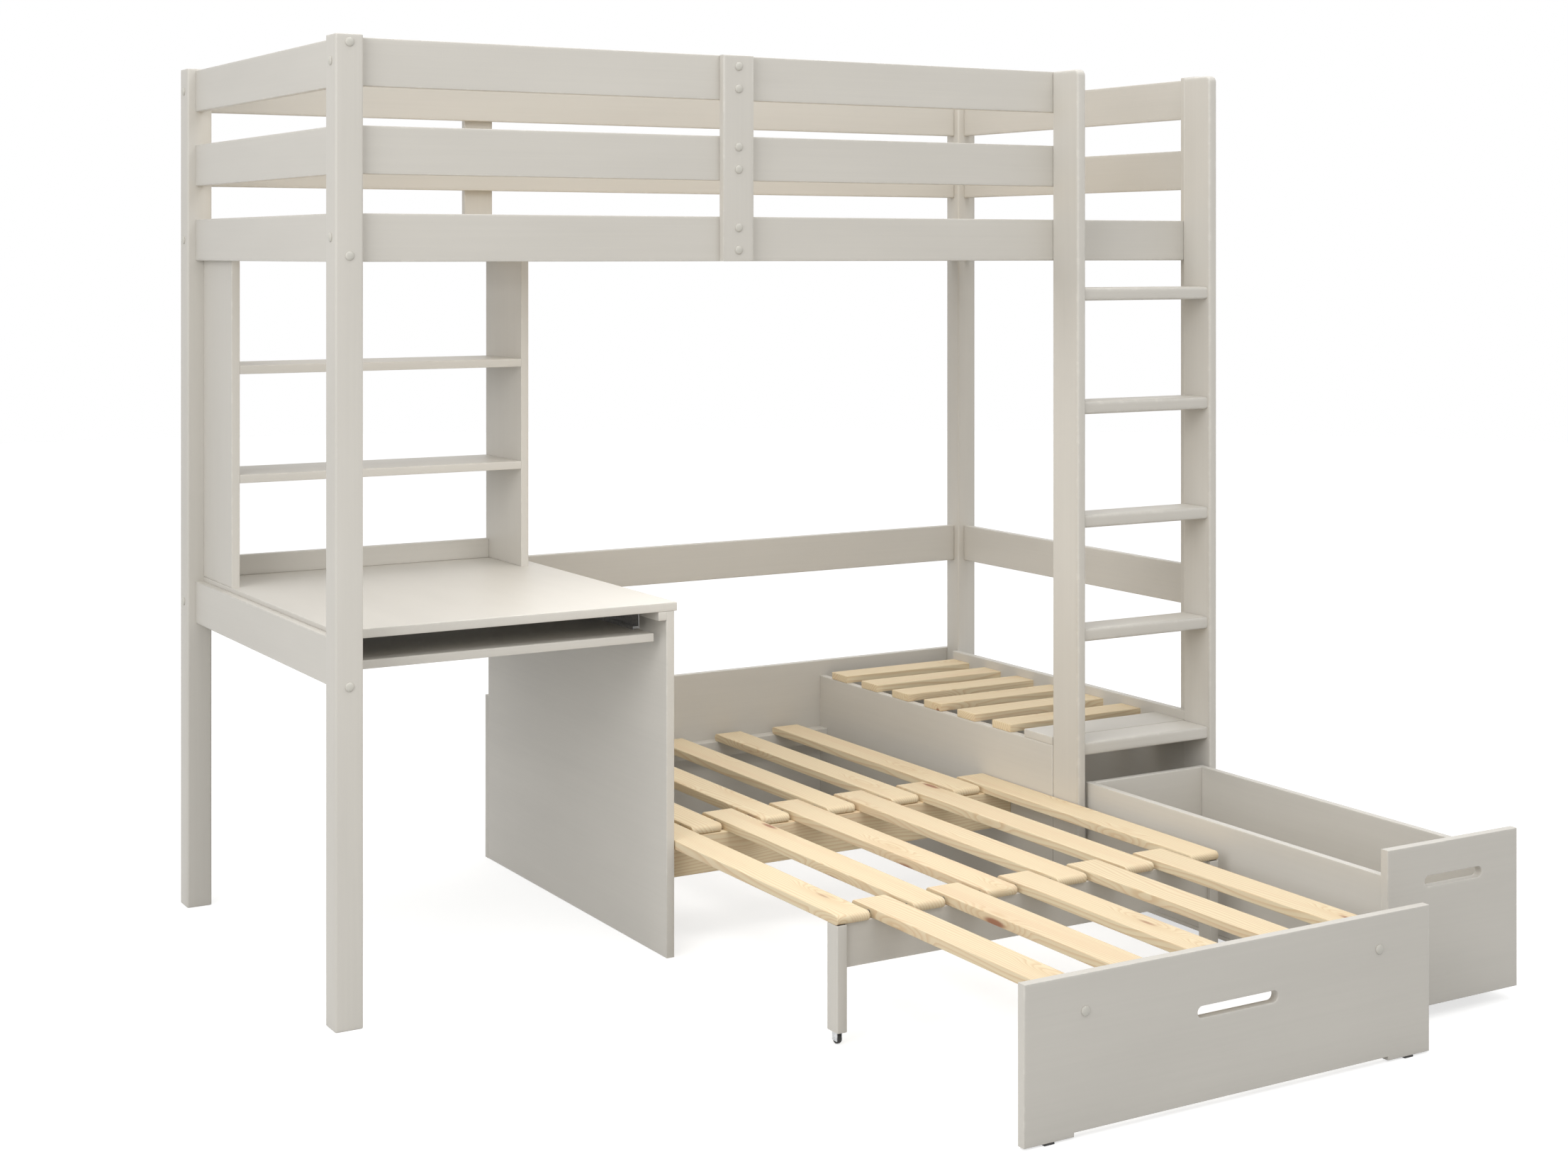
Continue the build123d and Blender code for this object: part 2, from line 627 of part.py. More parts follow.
with BuildPart() as bench_cleat:
    with BuildSketch(Plane.XY.offset(z_seat - bench_cleat_size)):
        with Locations((x_bench_r - bench_cleat_size, y_step_back + bench_cleat_gap)):
            Rectangle(bench_cleat_size, y_post_b - y_step_back - 2 * bench_cleat_gap, align=low)
    extrude(amount=bench_cleat_size)
bench_cleat.part.label = "bench_cleat"
export_step(bench_cleat.part, "parts/bench_cleat.step")

# Guest bed, the part that stays: slats in the odd places, an apron and a back ledger
with BuildPart() as guest_fixed_slats:
    with BuildSketch(Plane.XY.offset(z_guest)):
        for slat in range(1, guest_slat_count, 2):
            with Locations((x_guest_l + guest_pitch * slat, y_apron)):
                Rectangle(guest_slat_width, y_back - guest_fixed_back_gap - y_apron, align=low)
    extrude(amount=guest_slat_thickness)
    fillet(guest_fixed_slats.edges().filter_by(Axis.X), guest_slat_round)
guest_fixed_slats.part.label = "guest_fixed_slats"
export_step(guest_fixed_slats.part, "parts/guest_fixed_slats.step")

with BuildPart() as guest_fixed_apron:
    with BuildSketch(Plane.XY.offset(z_apron)):
        with Locations((x_panel_r, y_apron)):
            Rectangle(x_bench_l - x_panel_r, board_thickness, align=low)
    extrude(amount=guest_apron_height)
guest_fixed_apron.part.label = "guest_fixed_apron"
export_step(guest_fixed_apron.part, "parts/guest_fixed_apron.step")

with BuildPart() as guest_back_ledger:
    with BuildSketch(Plane.XY.offset(z_guest - guest_ledger_size)):
        with Locations((x_panel_r, y_ledger)):
            Rectangle(x_bench_l - x_panel_r, guest_ledger_size, align=low)
    extrude(amount=guest_ledger_size)
guest_back_ledger.part.label = "guest_back_ledger"
export_step(guest_back_ledger.part, "parts/guest_back_ledger.step")

# Guest bed, the part that slides: rear slats between the fixed ones, front slats ahead of them
with BuildPart() as guest_rear_slats:
    with BuildSketch(Plane.XY.offset(z_guest)):
        for slat in range(0, guest_slat_count, 2):
            with Locations((x_guest_l + guest_pitch * slat, y_rear_slats)):
                Rectangle(guest_slat_width, y_rear_slats_end - y_rear_slats, align=low)
    extrude(amount=guest_slat_thickness)
    fillet(guest_rear_slats.edges().filter_by(Axis.X), guest_slat_round)
guest_rear_slats.part.label = "guest_rear_slats"
export_step(guest_rear_slats.part, "parts/guest_rear_slats.step")

with BuildPart() as guest_front_slats:
    with BuildSketch(Plane.XY.offset(z_guest)):
        for slat in range(1, guest_slat_count, 2):
            with Locations((x_guest_l + guest_pitch * slat, y_front_slats)):
                Rectangle(guest_slat_width, guest_front_slat_length, align=low)
    extrude(amount=guest_slat_thickness)
    fillet(guest_front_slats.edges().filter_by(Axis.X).group_by(Axis.Y)[-1], guest_slat_round)
guest_front_slats.part.label = "guest_front_slats"
export_step(guest_front_slats.part, "parts/guest_front_slats.step")

# Pins across the gaps: where the front slats meet the rear ones, and at the rear slats' back ends
z_pins = guest_top - guest_slat_thickness / 2
with BuildPart() as guest_slat_pins:
    for gap in range(guest_slat_count - 1):
        x_gap = x_guest_l + guest_pitch * gap + guest_slat_width
        with BuildSketch(Plane.YZ.offset(x_gap)):
            with Locations((y_front_slats_end - guest_pin_inset, z_pins)):
                Circle(guest_pin_radius)
        extrude(amount=guest_slat_gap)
        x_short = x_gap + guest_pin_clearance * (gap % 2)
        with BuildSketch(Plane.YZ.offset(x_short)):
            with Locations((y_rear_slats_end - guest_pin_inset, z_pins)):
                Circle(guest_pin_radius)
        extrude(amount=guest_slat_gap - guest_pin_clearance)
guest_slat_pins.part.label = "guest_slat_pins"
export_step(guest_slat_pins.part, "parts/guest_slat_pins.step")

with BuildPart() as guest_moving_apron:
    with BuildSketch(Plane.XY.offset(z_apron)):
        with Locations((x_guest_l + leg_thickness, y_moving_apron)):
            Rectangle(guest_width - 2 * leg_thickness, board_thickness, align=low)
    extrude(amount=guest_apron_height)
guest_moving_apron.part.label = "guest_moving_apron"
export_step(guest_moving_apron.part, "parts/guest_moving_apron.step")

with BuildPart() as guest_rear_batten:
    with BuildSketch(Plane.XY.offset(z_guest - guest_rear_batten_height)):
        with Locations((x_guest_l, y_rear_slats_end - guest_rear_batten_width)):
            Rectangle(guest_width, guest_rear_batten_width, align=low)
    extrude(amount=guest_rear_batten_height)
guest_rear_batten.part.label = "guest_rear_batten"
export_step(guest_rear_batten.part, "parts/guest_rear_batten.step")

leg_places = (x_guest_l, x_guest_r - leg_thickness)
with BuildPart() as guest_legs:
    with BuildSketch(Plane.XY.offset(z_leg)):
        for x_leg in leg_places:
            with Locations((x_leg, y_leg)):
                Rectangle(leg_thickness, leg_depth, align=low)
    extrude(amount=z_guest - z_leg)
    fillet(guest_legs.edges().filter_by(Axis.Z), leg_round)
guest_legs.part.label = "guest_legs"
export_step(guest_legs.part, "parts/guest_legs.step")

# Casters under the legs: a bent sheet fork, and a wheel with its axle
y_caster = y_leg + leg_depth / 2
fork_width = caster_width + 2 * caster_side_gap + 2 * caster_sheet
with BuildPart() as guest_caster_forks:
    for x_leg in leg_places:
        x_caster = x_leg + leg_thickness / 2
        with BuildSketch(Plane.XY.offset(caster_radius - caster_fork_drop)):
            with Locations((x_caster, y_caster)):
                Rectangle(fork_width, caster_fork_depth)
        extrude(amount=z_leg - caster_radius + caster_fork_drop)
        with BuildSketch(Plane.XY):
            with Locations((x_caster, y_caster)):
                Rectangle(caster_width + 2 * caster_side_gap, leg_depth)
        extrude(amount=z_fork, mode=Mode.SUBTRACT)
        with BuildSketch(Plane.YZ.offset(x_caster - fork_width)):
            with Locations((y_caster, caster_radius)):
                Circle(caster_axle_radius + running_clearance)
        extrude(amount=2 * fork_width, mode=Mode.SUBTRACT)
guest_caster_forks.part.label = "guest_caster_forks"
export_step(guest_caster_forks.part, "parts/guest_caster_forks.step")

for wheel_name, x_leg in zip(("guest_caster_left", "guest_caster_right"), leg_places):
    x_caster = x_leg + leg_thickness / 2
    with BuildPart() as caster_wheel:
        with BuildSketch(Plane.YZ.offset(x_caster - caster_width / 2)):
            with Locations((y_caster, caster_radius)):
                Circle(caster_radius)
        extrude(amount=caster_width)
        fillet(caster_wheel.edges().filter_by(GeomType.CIRCLE), caster_width / 10)
        with BuildSketch(Plane.YZ.offset(x_caster - fork_width / 2)):
            with Locations((y_caster, caster_radius)):
                Circle(caster_axle_radius)
        extrude(amount=fork_width)
    caster_wheel.part.label = wheel_name
    export_step(caster_wheel.part, f"parts/{wheel_name}.step")

# Front panel of the guest bed: feet at its ends, a slot for the hand, a ledger behind it
with BuildPart() as guest_front_panel:
    with BuildSketch(Plane.XZ.offset(-y_guest_panel)):
        with Locations((guest_middle, guest_glide_height)):
            Rectangle(guest_width, guest_panel_height - guest_glide_height, align=(Align.CENTER, Align.MIN))
            Rectangle(
                guest_width - 2 * guest_foot_width,
                guest_foot_lift,
                align=(Align.CENTER, Align.MIN),
                mode=Mode.SUBTRACT,
            )
        with Locations((guest_middle, guest_handle_z)):
            SlotOverall(guest_handle_length, guest_handle_height, mode=Mode.SUBTRACT)
    extrude(amount=-board_thickness)
    fillet(
        guest_front_panel.faces().sort_by(Axis.Z)[-1].edges().filter_by(Axis.X), board_round
    )
    with BuildSketch(Plane.XZ.offset(-y_guest_panel)):
        for side in (-1, 1):
            with Locations((guest_middle + side * guest_cap_spacing / 2, guest_cap_z)):
                Circle(panel_bolt_radius + bolt_hole_clearance)
    extrude(amount=-board_thickness, mode=Mode.SUBTRACT)
guest_front_panel.part.label = "guest_front_panel"
export_step(guest_front_panel.part, "parts/guest_front_panel.step")

with BuildPart() as guest_panel_ledger:
    with BuildSketch(Plane.XY.offset(z_guest - guest_panel_ledger_size)):
        with Locations((x_guest_l + guest_panel_ledger_inset, y_front_slats)):
            Rectangle(guest_width - 2 * guest_panel_ledger_inset, guest_panel_ledger_size, align=low)
    extrude(amount=guest_panel_ledger_size)
    with BuildSketch(Plane.XZ.offset(-y_front_slats)):
        for side in (-1, 1):
            with Locations((guest_middle + side * guest_cap_spacing / 2, guest_cap_z)):
                Circle(panel_bolt_radius + bolt_hole_clearance)
    extrude(amount=-panel_bolt_reach - bolt_hole_clearance, mode=Mode.SUBTRACT)
guest_panel_ledger.part.label = "guest_panel_ledger"
export_step(guest_panel_ledger.part, "parts/guest_panel_ledger.step")

with BuildPart() as guest_panel_bolts:
    with BuildSketch(Plane.XZ.offset(-y_guest_panel)):
        for side in (-1, 1):
            with Locations((guest_middle + side * guest_cap_spacing / 2, guest_cap_z)):
                Circle(panel_bolt_radius)
    extrude(amount=-board_thickness - panel_bolt_reach)
guest_panel_bolts.part.label = "guest_panel_bolts"
export_step(guest_panel_bolts.part, "parts/guest_panel_bolts.step")

with BuildPart() as guest_glides:
    with BuildSketch(Plane.XY):
        for side in (-1, 1):
            with Locations(
                (
                    guest_middle + side * (guest_width - guest_foot_width) / 2,
                    y_guest_panel + board_thickness / 2,
                )
            ):
                Rectangle(2 * guest_glide_radius, board_thickness)
    extrude(amount=guest_glide_height)
guest_glides.part.label = "guest_glides"
export_step(guest_glides.part, "parts/guest_glides.step")

# Drawer on wheels under the bench
with BuildPart() as drawer_front:
    with BuildSketch(Plane.XZ.offset(-y_drawer)):
        with Locations((drawer_middle, drawer_front_bottom)):
            Rectangle(
                x_drawer_r - x_drawer_l, z_drawer_top - drawer_front_bottom, align=(Align.CENTER, Align.MIN)
            )
        with Locations((drawer_middle, drawer_handle_z)):
            SlotOverall(drawer_handle_length, drawer_handle_height, mode=Mode.SUBTRACT)
    extrude(amount=-board_thickness)
    fillet(drawer_front.faces().sort_by(Axis.Z)[-1].edges().filter_by(Axis.X), board_round)
drawer_front.part.label = "drawer_front"
export_step(drawer_front.part, "parts/drawer_front.step")

with BuildPart() as drawer_sides:
    with BuildSketch(Plane.XY.offset(z_box)):
        with Locations((x_box_l, y_box), (x_box_r - drawer_side_thickness, y_box)):
            Rectangle(drawer_side_thickness, y_box_end - y_box, align=low)
    extrude(amount=drawer_side_top - z_box)
    fillet(drawer_sides.edges().filter_by(Axis.Y).group_by(Axis.Z)[-1], board_round)
drawer_sides.part.label = "drawer_sides"
export_step(drawer_sides.part, "parts/drawer_sides.step")

with BuildPart() as drawer_back:
    with BuildSketch(Plane.XY.offset(z_box)):
        with Locations((x_box_l + drawer_side_thickness, y_box_end - drawer_side_thickness)):
            Rectangle(
                x_box_r - x_box_l - 2 * drawer_side_thickness, drawer_side_thickness, align=low
            )
    extrude(amount=drawer_side_top - z_box)
    fillet(drawer_back.edges().filter_by(Axis.X).group_by(Axis.Z)[-1], board_round)
drawer_back.part.label = "drawer_back"
export_step(drawer_back.part, "parts/drawer_back.step")

with BuildPart() as drawer_base:
    with BuildSketch(Plane.XY.offset(drawer_base_bottom)):
        with Locations((x_box_l, y_box)):
            Rectangle(x_box_r - x_box_l, y_box_end - y_box, align=low)
    extrude(amount=drawer_base_thickness)
drawer_base.part.label = "drawer_base"
export_step(drawer_base.part, "parts/drawer_base.step")

# Drawer wheels: a fork over each wheel, and two wheels on each axle
wheel_places = (x_box_l + drawer_wheel_inset, x_box_r - drawer_wheel_inset)
axle_places = (y_box + drawer_wheel_from_end, y_box_end - drawer_wheel_from_end)
bracket_gap = drawer_wheel_width + 2 * drawer_bracket_side_gap
bracket_width = bracket_gap + 2 * drawer_bracket_sheet
with BuildPart() as drawer_brackets:
    for x_wheel in wheel_places:
        for y_axle in axle_places:
            with BuildSketch(Plane.XY.offset(drawer_wheel_radius - drawer_bracket_drop)):
                with Locations((x_wheel, y_axle)):
                    Rectangle(bracket_width, drawer_bracket_length)
            extrude(amount=drawer_base_bottom - drawer_wheel_radius + drawer_bracket_drop)
            with BuildSketch(Plane.XY):
                with Locations((x_wheel, y_axle)):
                    Rectangle(bracket_gap, 2 * drawer_bracket_length)
            extrude(amount=z_drawer_plate, mode=Mode.SUBTRACT)
            with BuildSketch(Plane.YZ.offset(x_wheel - bracket_width)):
                with Locations((y_axle, drawer_wheel_radius)):
                    Circle(drawer_axle_radius + running_clearance)
            extrude(amount=2 * bracket_width, mode=Mode.SUBTRACT)
drawer_brackets.part.label = "drawer_brackets"
export_step(drawer_brackets.part, "parts/drawer_brackets.step")

for wheel_name, y_axle in zip(("drawer_wheels_front", "drawer_wheels_back"), axle_places):
    with BuildPart() as wheel_set:
        for x_wheel in wheel_places:
            with BuildSketch(Plane.YZ.offset(x_wheel - drawer_wheel_width / 2)):
                with Locations((y_axle, drawer_wheel_radius)):
                    Circle(drawer_wheel_radius)
            extrude(amount=drawer_wheel_width)
        fillet(wheel_set.edges().filter_by(GeomType.CIRCLE), drawer_wheel_width / 10)
        with BuildSketch(Plane.YZ.offset(wheel_places[0] - bracket_width / 2)):
            with Locations((y_axle, drawer_wheel_radius)):
                Circle(drawer_axle_radius)
        extrude(amount=wheel_places[1] - wheel_places[0] + bracket_width)
    wheel_set.part.label = wheel_name
    export_step(wheel_set.part, f"parts/{wheel_name}.step")

# Bolts that pull the rails to the posts
with BuildPart() as frame_bolts:
    for x, y, z, inward in all_bolts:
        bolt_plane = Plane(origin=(x, y, z), z_dir=inward)
        with BuildSketch(bolt_plane.offset(counterbore_depth - bolt_head_height)):
            Circle(bolt_head_radius)
        extrude(amount=bolt_head_height)
        with BuildSketch(bolt_plane.offset(counterbore_depth)):
            Circle(bolt_radius)
        extrude(amount=post_size + bolt_reach - counterbore_depth)
frame_bolts.part.label = "frame_bolts"
export_step(frame_bolts.part, "parts/frame_bolts.step")

# Domed caps over the bolts, and over the screws of the battens
cap_spots = list(all_bolts)
for z_rail in rail_levels:
    for z in (z_rail + rail_height / 4, z_rail + rail_height * 3 / 4):
        cap_spots.append((x_left + front_batten_from_left + batten_width / 2, y_front, z, front_in))
        for step in range(1, back_batten_count + 1):
            x_batten = x_left + overall_length * step / (back_batten_count + 1)
            cap_spots.append((x_batten, y_back, z, back_in))
dome_radius = (cap_radius**2 + cap_height**2) / (2 * cap_height)
with BuildPart() as frame_caps:
    for x, y, z, inward in cap_spots:
        outward = Plane(origin=(x, y, z), z_dir=(-inward[0], -inward[1], 0))
        with BuildSketch(Plane(origin=(x, y, z), x_dir=outward.z_dir, z_dir=(0, 0, 1))):
            with BuildLine():
                l1 = Line((0, 0), (cap_height, 0))
                l2 = RadiusArc((cap_height, 0), (0, cap_radius), -dome_radius)
                l3 = Line((0, cap_radius), (0, 0))
            make_face()
        revolve(axis=Axis((x, y, z), outward.z_dir))
frame_caps.part.label = "frame_caps"
export_step(frame_caps.part, "parts/frame_caps.step")

with BuildPart() as guest_panel_caps:
    for side in (-1, 1):
        place = (guest_middle + side * guest_cap_spacing / 2, y_guest_panel, guest_cap_z)
        with BuildSketch(Plane(origin=place, x_dir=(0, -1, 0), z_dir=(0, 0, 1))):
            with BuildLine():
                l1 = Line((0, 0), (cap_height, 0))
                l2 = RadiusArc((cap_height, 0), (0, cap_radius), -dome_radius)
                l3 = Line((0, cap_radius), (0, 0))
            make_face()
        revolve(axis=Axis(place, (0, -1, 0)))
guest_panel_caps.part.label = "guest_panel_caps"
export_step(guest_panel_caps.part, "parts/guest_panel_caps.step")
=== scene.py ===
# %% [markdown]
# # A loft bed with a desk, a bench with a drawer, and a slatted guest bed
#
# The construction is a set of boards, posts and slats at their real sizes, in metres, with the
# bodies that slide and roll. This notebook dresses it: each board is made again as a surface
# with softened edges and its own grain, and every finish is painted on with shader nodes. We
# start by loading the frame.

import math

import bpy
import numpy as np
from mathutils.geometry import tessellate_polygon
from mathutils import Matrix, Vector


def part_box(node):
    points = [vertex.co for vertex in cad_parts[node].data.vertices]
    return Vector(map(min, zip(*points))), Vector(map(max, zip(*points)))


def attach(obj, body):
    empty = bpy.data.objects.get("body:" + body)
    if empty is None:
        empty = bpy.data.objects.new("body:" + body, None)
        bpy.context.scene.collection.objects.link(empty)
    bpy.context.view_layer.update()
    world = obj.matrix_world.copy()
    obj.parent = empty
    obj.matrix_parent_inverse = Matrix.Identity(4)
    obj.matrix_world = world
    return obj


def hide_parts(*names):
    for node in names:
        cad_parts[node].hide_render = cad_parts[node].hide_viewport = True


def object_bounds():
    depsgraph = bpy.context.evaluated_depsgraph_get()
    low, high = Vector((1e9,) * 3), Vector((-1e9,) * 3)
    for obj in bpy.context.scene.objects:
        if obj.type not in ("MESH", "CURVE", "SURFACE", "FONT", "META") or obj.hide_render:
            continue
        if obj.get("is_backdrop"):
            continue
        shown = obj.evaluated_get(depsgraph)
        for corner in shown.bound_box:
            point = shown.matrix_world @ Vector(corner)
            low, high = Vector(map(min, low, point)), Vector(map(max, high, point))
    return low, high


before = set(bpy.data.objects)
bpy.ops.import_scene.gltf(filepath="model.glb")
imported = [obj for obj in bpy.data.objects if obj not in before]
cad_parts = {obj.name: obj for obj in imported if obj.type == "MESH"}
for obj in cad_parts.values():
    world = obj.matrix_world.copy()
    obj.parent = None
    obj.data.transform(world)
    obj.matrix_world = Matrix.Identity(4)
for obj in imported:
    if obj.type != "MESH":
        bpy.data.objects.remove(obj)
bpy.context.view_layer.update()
MM = 0.001

# %% [markdown]
# ## A small language for shaders
#
# A finish is a sum of simple patterns: growth rings, fibres, knots, clouds. Written as
# expressions they read like the sentence that describes them. One class wraps a node's output
# and overloads the arithmetic, so `1 - mask` adds the Math node by itself. Every other node is
# made by one method that takes its type, its settings and the values or links of its sockets.

# %% Sockets that can be added and multiplied
class Wire:
    """A node's output that arithmetic turns into further Math nodes."""

    def __init__(self, nodes, socket):
        self.nodes, self.socket = nodes, socket

    def _maths(self, operation, first, second):
        return self.nodes.node("ShaderNodeMath", {"operation": operation}, {0: first, 1: second})

    def __add__(self, other):
        return self._maths("ADD", self, other)

    def __sub__(self, other):
        return self._maths("SUBTRACT", self, other)

    def __mul__(self, other):
        return self._maths("MULTIPLY", self, other)

    def __rsub__(self, other):
        return self._maths("SUBTRACT", other, self)

    __radd__, __rmul__ = __add__, __mul__

    def most(self, other):
        return self._maths("MAXIMUM", self, other)

    def ramp(self, low, high):
        """0 below low, 1 above high, and a smooth rise between them."""
        settings = {"interpolation_type": "SMOOTHSTEP"}
        inputs = {"Value": self, "From Min": low, "From Max": high}
        return self.nodes.node("ShaderNodeMapRange", settings, inputs)


# %% A node tree, and a material made of one
class Nodes:
    """A node tree that grows by node()."""

    def __init__(self, tree):
        self.tree = tree

    def fill(self, made, inputs):
        """Sets or links the sockets of a node."""
        for key, value in inputs.items():
            if isinstance(value, Wire):
                self.tree.links.new(value.socket, made.inputs[key])
            else:
                made.inputs[key].default_value = value

    def node(self, kind, settings=None, inputs=None, out=0):
        """A node of any type: its settings first, then the values or links of its sockets."""
        made = self.tree.nodes.new(kind)
        for key, value in (settings or {}).items():
            setattr(made, key, value)
        self.fill(made, inputs or {})
        return Wire(self, made.outputs[out])


class Finish(Nodes):
    """A material whose shader's own sockets hold the constants."""

    def __init__(self, name, **constants):
        self.material = bpy.data.materials.new(name)
        self.material.use_nodes = True
        super().__init__(self.material.node_tree)
        self.shader = self.tree.nodes["Principled BSDF"]
        self.fill(self.shader, {key.replace("_", " "): value for key, value in constants.items()})

    def place(self):
        return self.node("ShaderNodeTexCoord", out="Object")

    def carried(self, name, out="Vector"):
        """What a surface carries in one of its attributes."""
        return self.node("ShaderNodeAttribute", {"attribute_name": name}, out=out)

    def stretch(self, vector, by):
        return self.node("ShaderNodeVectorMath", {"operation": "MULTIPLY"}, {0: vector, 1: by})

    def noise(self, vector, scale, detail=2.0, roughness=0.5):
        inputs = {"Vector": vector, "Scale": scale, "Detail": detail, "Roughness": roughness}
        return self.node("ShaderNodeTexNoise", {}, inputs, out="Fac")

    def cells(self, vector, scale):
        """The distance to the middle of the nearest of many scattered cells."""
        settings = {"feature": "F1", "voronoi_dimensions": "3D"}
        inputs = {"Vector": vector, "Scale": scale, "Randomness": 1.0}
        return self.node("ShaderNodeTexVoronoi", settings, inputs, out="Distance")

    def mix(self, factor, first, second):
        """The first colour, turning to the second where the factor is 1."""
        inputs = {0: factor, 6: first, 7: second}
        return self.node("ShaderNodeMix", {"data_type": "RGBA"}, inputs, out=2)

    def paint(self, socket, wire):
        self.fill(self.shader, {socket: wire})

    def relief(self, height, distance, strength=1.0):
        """Raises the surface by height times distance, in metres, through the shader's Normal."""
        inputs = {"Height": height, "Distance": distance, "Strength": strength}
        self.paint("Normal", self.node("ShaderNodeBump", {}, inputs, out="Normal"))


def colour(red, green, blue):
    """A screen colour of 0 to 255 a channel, turned by the screen's curve into linear light."""
    values = [c / 255 for c in (red, green, blue)]
    light = [c / 12.92 if c <= 0.04045 else ((c + 0.055) / 1.055) ** 2.4 for c in values]
    return (*light, 1.0)


def tone(base, times, plus=0.0):
    """A colour made darker or lighter: base * times + plus, at most white."""
    return tuple(min(1.0, c * times + plus) for c in base[:3]) + (1.0,)


print("white as light:", colour(255, 255, 255))

# %% [markdown]
# ## Painted wood
#
# The boards are coated in a warm, pale grey satin lacquer. A roller leaves a fine orange-peel
# skin, the wood's fibres show through it as faint long ridges, and along the edges the coat is
# rubbed thin in places and a touch lighter. Each board carries its own grain coordinates, so
# the fibres always run along the board, whichever way it stands. A picture of wood would need
# unwrapping and would stretch, while patterns in the boards' own coordinates do neither.

# %% The satin lacquer
def painted_wood(name, base):
    """Lacquer = base colour, mottled by wide soft clouds and by fibres along the grain, and
    mixed with a paler tone where the edge weight times a blotchy noise is high."""
    f = Finish(name, Specular_IOR_Level=0.42)
    along = f.carried("grain")
    skin = f.noise(f.place(), 900.0, 2.0)
    fibres = f.noise(f.stretch(along, (2.2, 160.0, 160.0)), 1.0, 3.0, 0.6)
    clouds = f.noise(f.stretch(along, (1.0, 4.0, 4.0)), 2.4, 3.0)
    worn = f.carried("edge", out="Fac").ramp(0.45, 1.0)
    rub = worn * f.noise(f.place(), 38.0, 4.0, 0.7).ramp(0.45, 0.72)
    shade = (clouds - 0.5) * 0.30 + (fibres - 0.5) * 0.16 + 0.5
    coat = f.mix(shade.ramp(0.3, 0.7), tone(base, 0.95), tone(base, 1.05))
    f.paint("Base Color", f.mix(rub * 0.5, coat, tone(base, 1.16, 0.01)))
    f.paint("Roughness", 0.36 + skin * 0.10 + fibres * 0.06 - worn * 0.05)
    f.relief(skin * 0.35 + fibres, 0.00022, 0.5)
    return f.material


PAINT = painted_wood("lacquer_warm_grey", colour(203, 199, 191))
print("made", PAINT.name)

# %% [markdown]
# ## Bare pine
#
# The slats are planed pine. A board sawn along the trunk cuts its growth rings at a slant, so
# they show as long flames. Here a ring's number is a slanted sum of the places across and
# through the board, bent by a slow wander along it, and late wood is the darker end of each
# ring. Knots are branches that cross the board: a round dark eye, and rings pushed aside by it.

# %% Knotty planed pine
def bare_pine(name, pale, late, heart):
    """Pine = a pale colour, darker at the late end of each ring, plus pores, streaks and knots.
    Ring number = 150 * across + 95 * through + 15 * wander + 4.5 * nearness to a knot, and the
    place in the ring is that number's fraction."""
    f = Finish(name, Specular_IOR_Level=0.32)
    along = f.carried("grain")
    branch = f.cells(f.stretch(along, (3.1, 15.0, 15.0)), 1.0)
    knot = 1 - branch.ramp(0.055, 0.13)
    around = 1 - branch.ramp(0.10, 0.42)
    wander = f.noise(f.stretch(along, (1.3, 6.0, 6.0)), 1.0, 2.0)
    across = f.node("ShaderNodeSeparateXYZ", {}, {0: along}, out="Y")
    through = f.node("ShaderNodeSeparateXYZ", {}, {0: along}, out="Z")
    slant = across * 150.0 + through * 95.0 + wander * 15.0 + around * 4.5
    ring = f.node("ShaderNodeMath", {"operation": "FRACT"}, {0: slant})
    late_wood = ring.ramp(0.35, 0.93) * (1 - ring.ramp(0.93, 1.0))
    pores = f.noise(f.stretch(along, (14.0, 1100.0, 1100.0)), 1.0, 2.0, 0.6)
    streak = f.noise(f.stretch(along, (0.8, 30.0, 30.0)), 1.0, 3.0, 0.55)
    wood = f.mix(late_wood * 0.62, pale, late)
    wood = f.mix(streak.ramp(0.45, 0.75) * 0.35, wood, heart)
    wood = f.mix(around * 0.30, wood, late)
    wood = f.mix(knot * 0.9, wood, colour(146, 92, 66))
    wood = f.mix(pores.ramp(0.55, 0.8) * 0.16, wood, colour(172, 138, 100))
    f.paint("Base Color", wood)
    f.paint("Roughness", 0.60 + pores * 0.16 - late_wood * 0.10 - knot * 0.14)
    f.relief(pores * 0.5 + late_wood * 0.6 - knot * 0.7, 0.0002, 0.55)
    return f.material


EARLY_WOOD, LATE_WOOD, HEARTWOOD = colour(226, 210, 178), colour(206, 176, 136), colour(216, 184, 152)
PINE = bare_pine("pine_planed", EARLY_WOOD, LATE_WOOD, HEARTWOOD)
print("made", PINE.name)

# %% [markdown]
# ## Zinc and plastic
#
# The small things give the scale. The bolts and brackets are bright zinc with a spangle of
# crystals and fine scratches, and the pins between the slats are the same zinc gone dull. The
# caps over the bolts are satin plastic in the colour of the lacquer, the drawer's wheels are
# grey plastic and the casters are dark plastic, both a little dusty in patches.

# %% Metals and plastics
def zinc(name, dark, light):
    """Zinc = two greys spread over crystal cells, with long scratches in its gloss and relief."""
    f = Finish(name, Metallic=1.0)
    spangle = f.cells(f.place(), 190.0)
    scratch = f.noise(f.stretch(f.place(), (30.0, 900.0, 900.0)), 1.0, 3.0)
    f.paint("Base Color", f.mix(spangle, dark, light))
    f.paint("Roughness", 0.24 + spangle * 0.16 + scratch * 0.12)
    f.relief(scratch, 0.00005, 0.5)
    return f.material


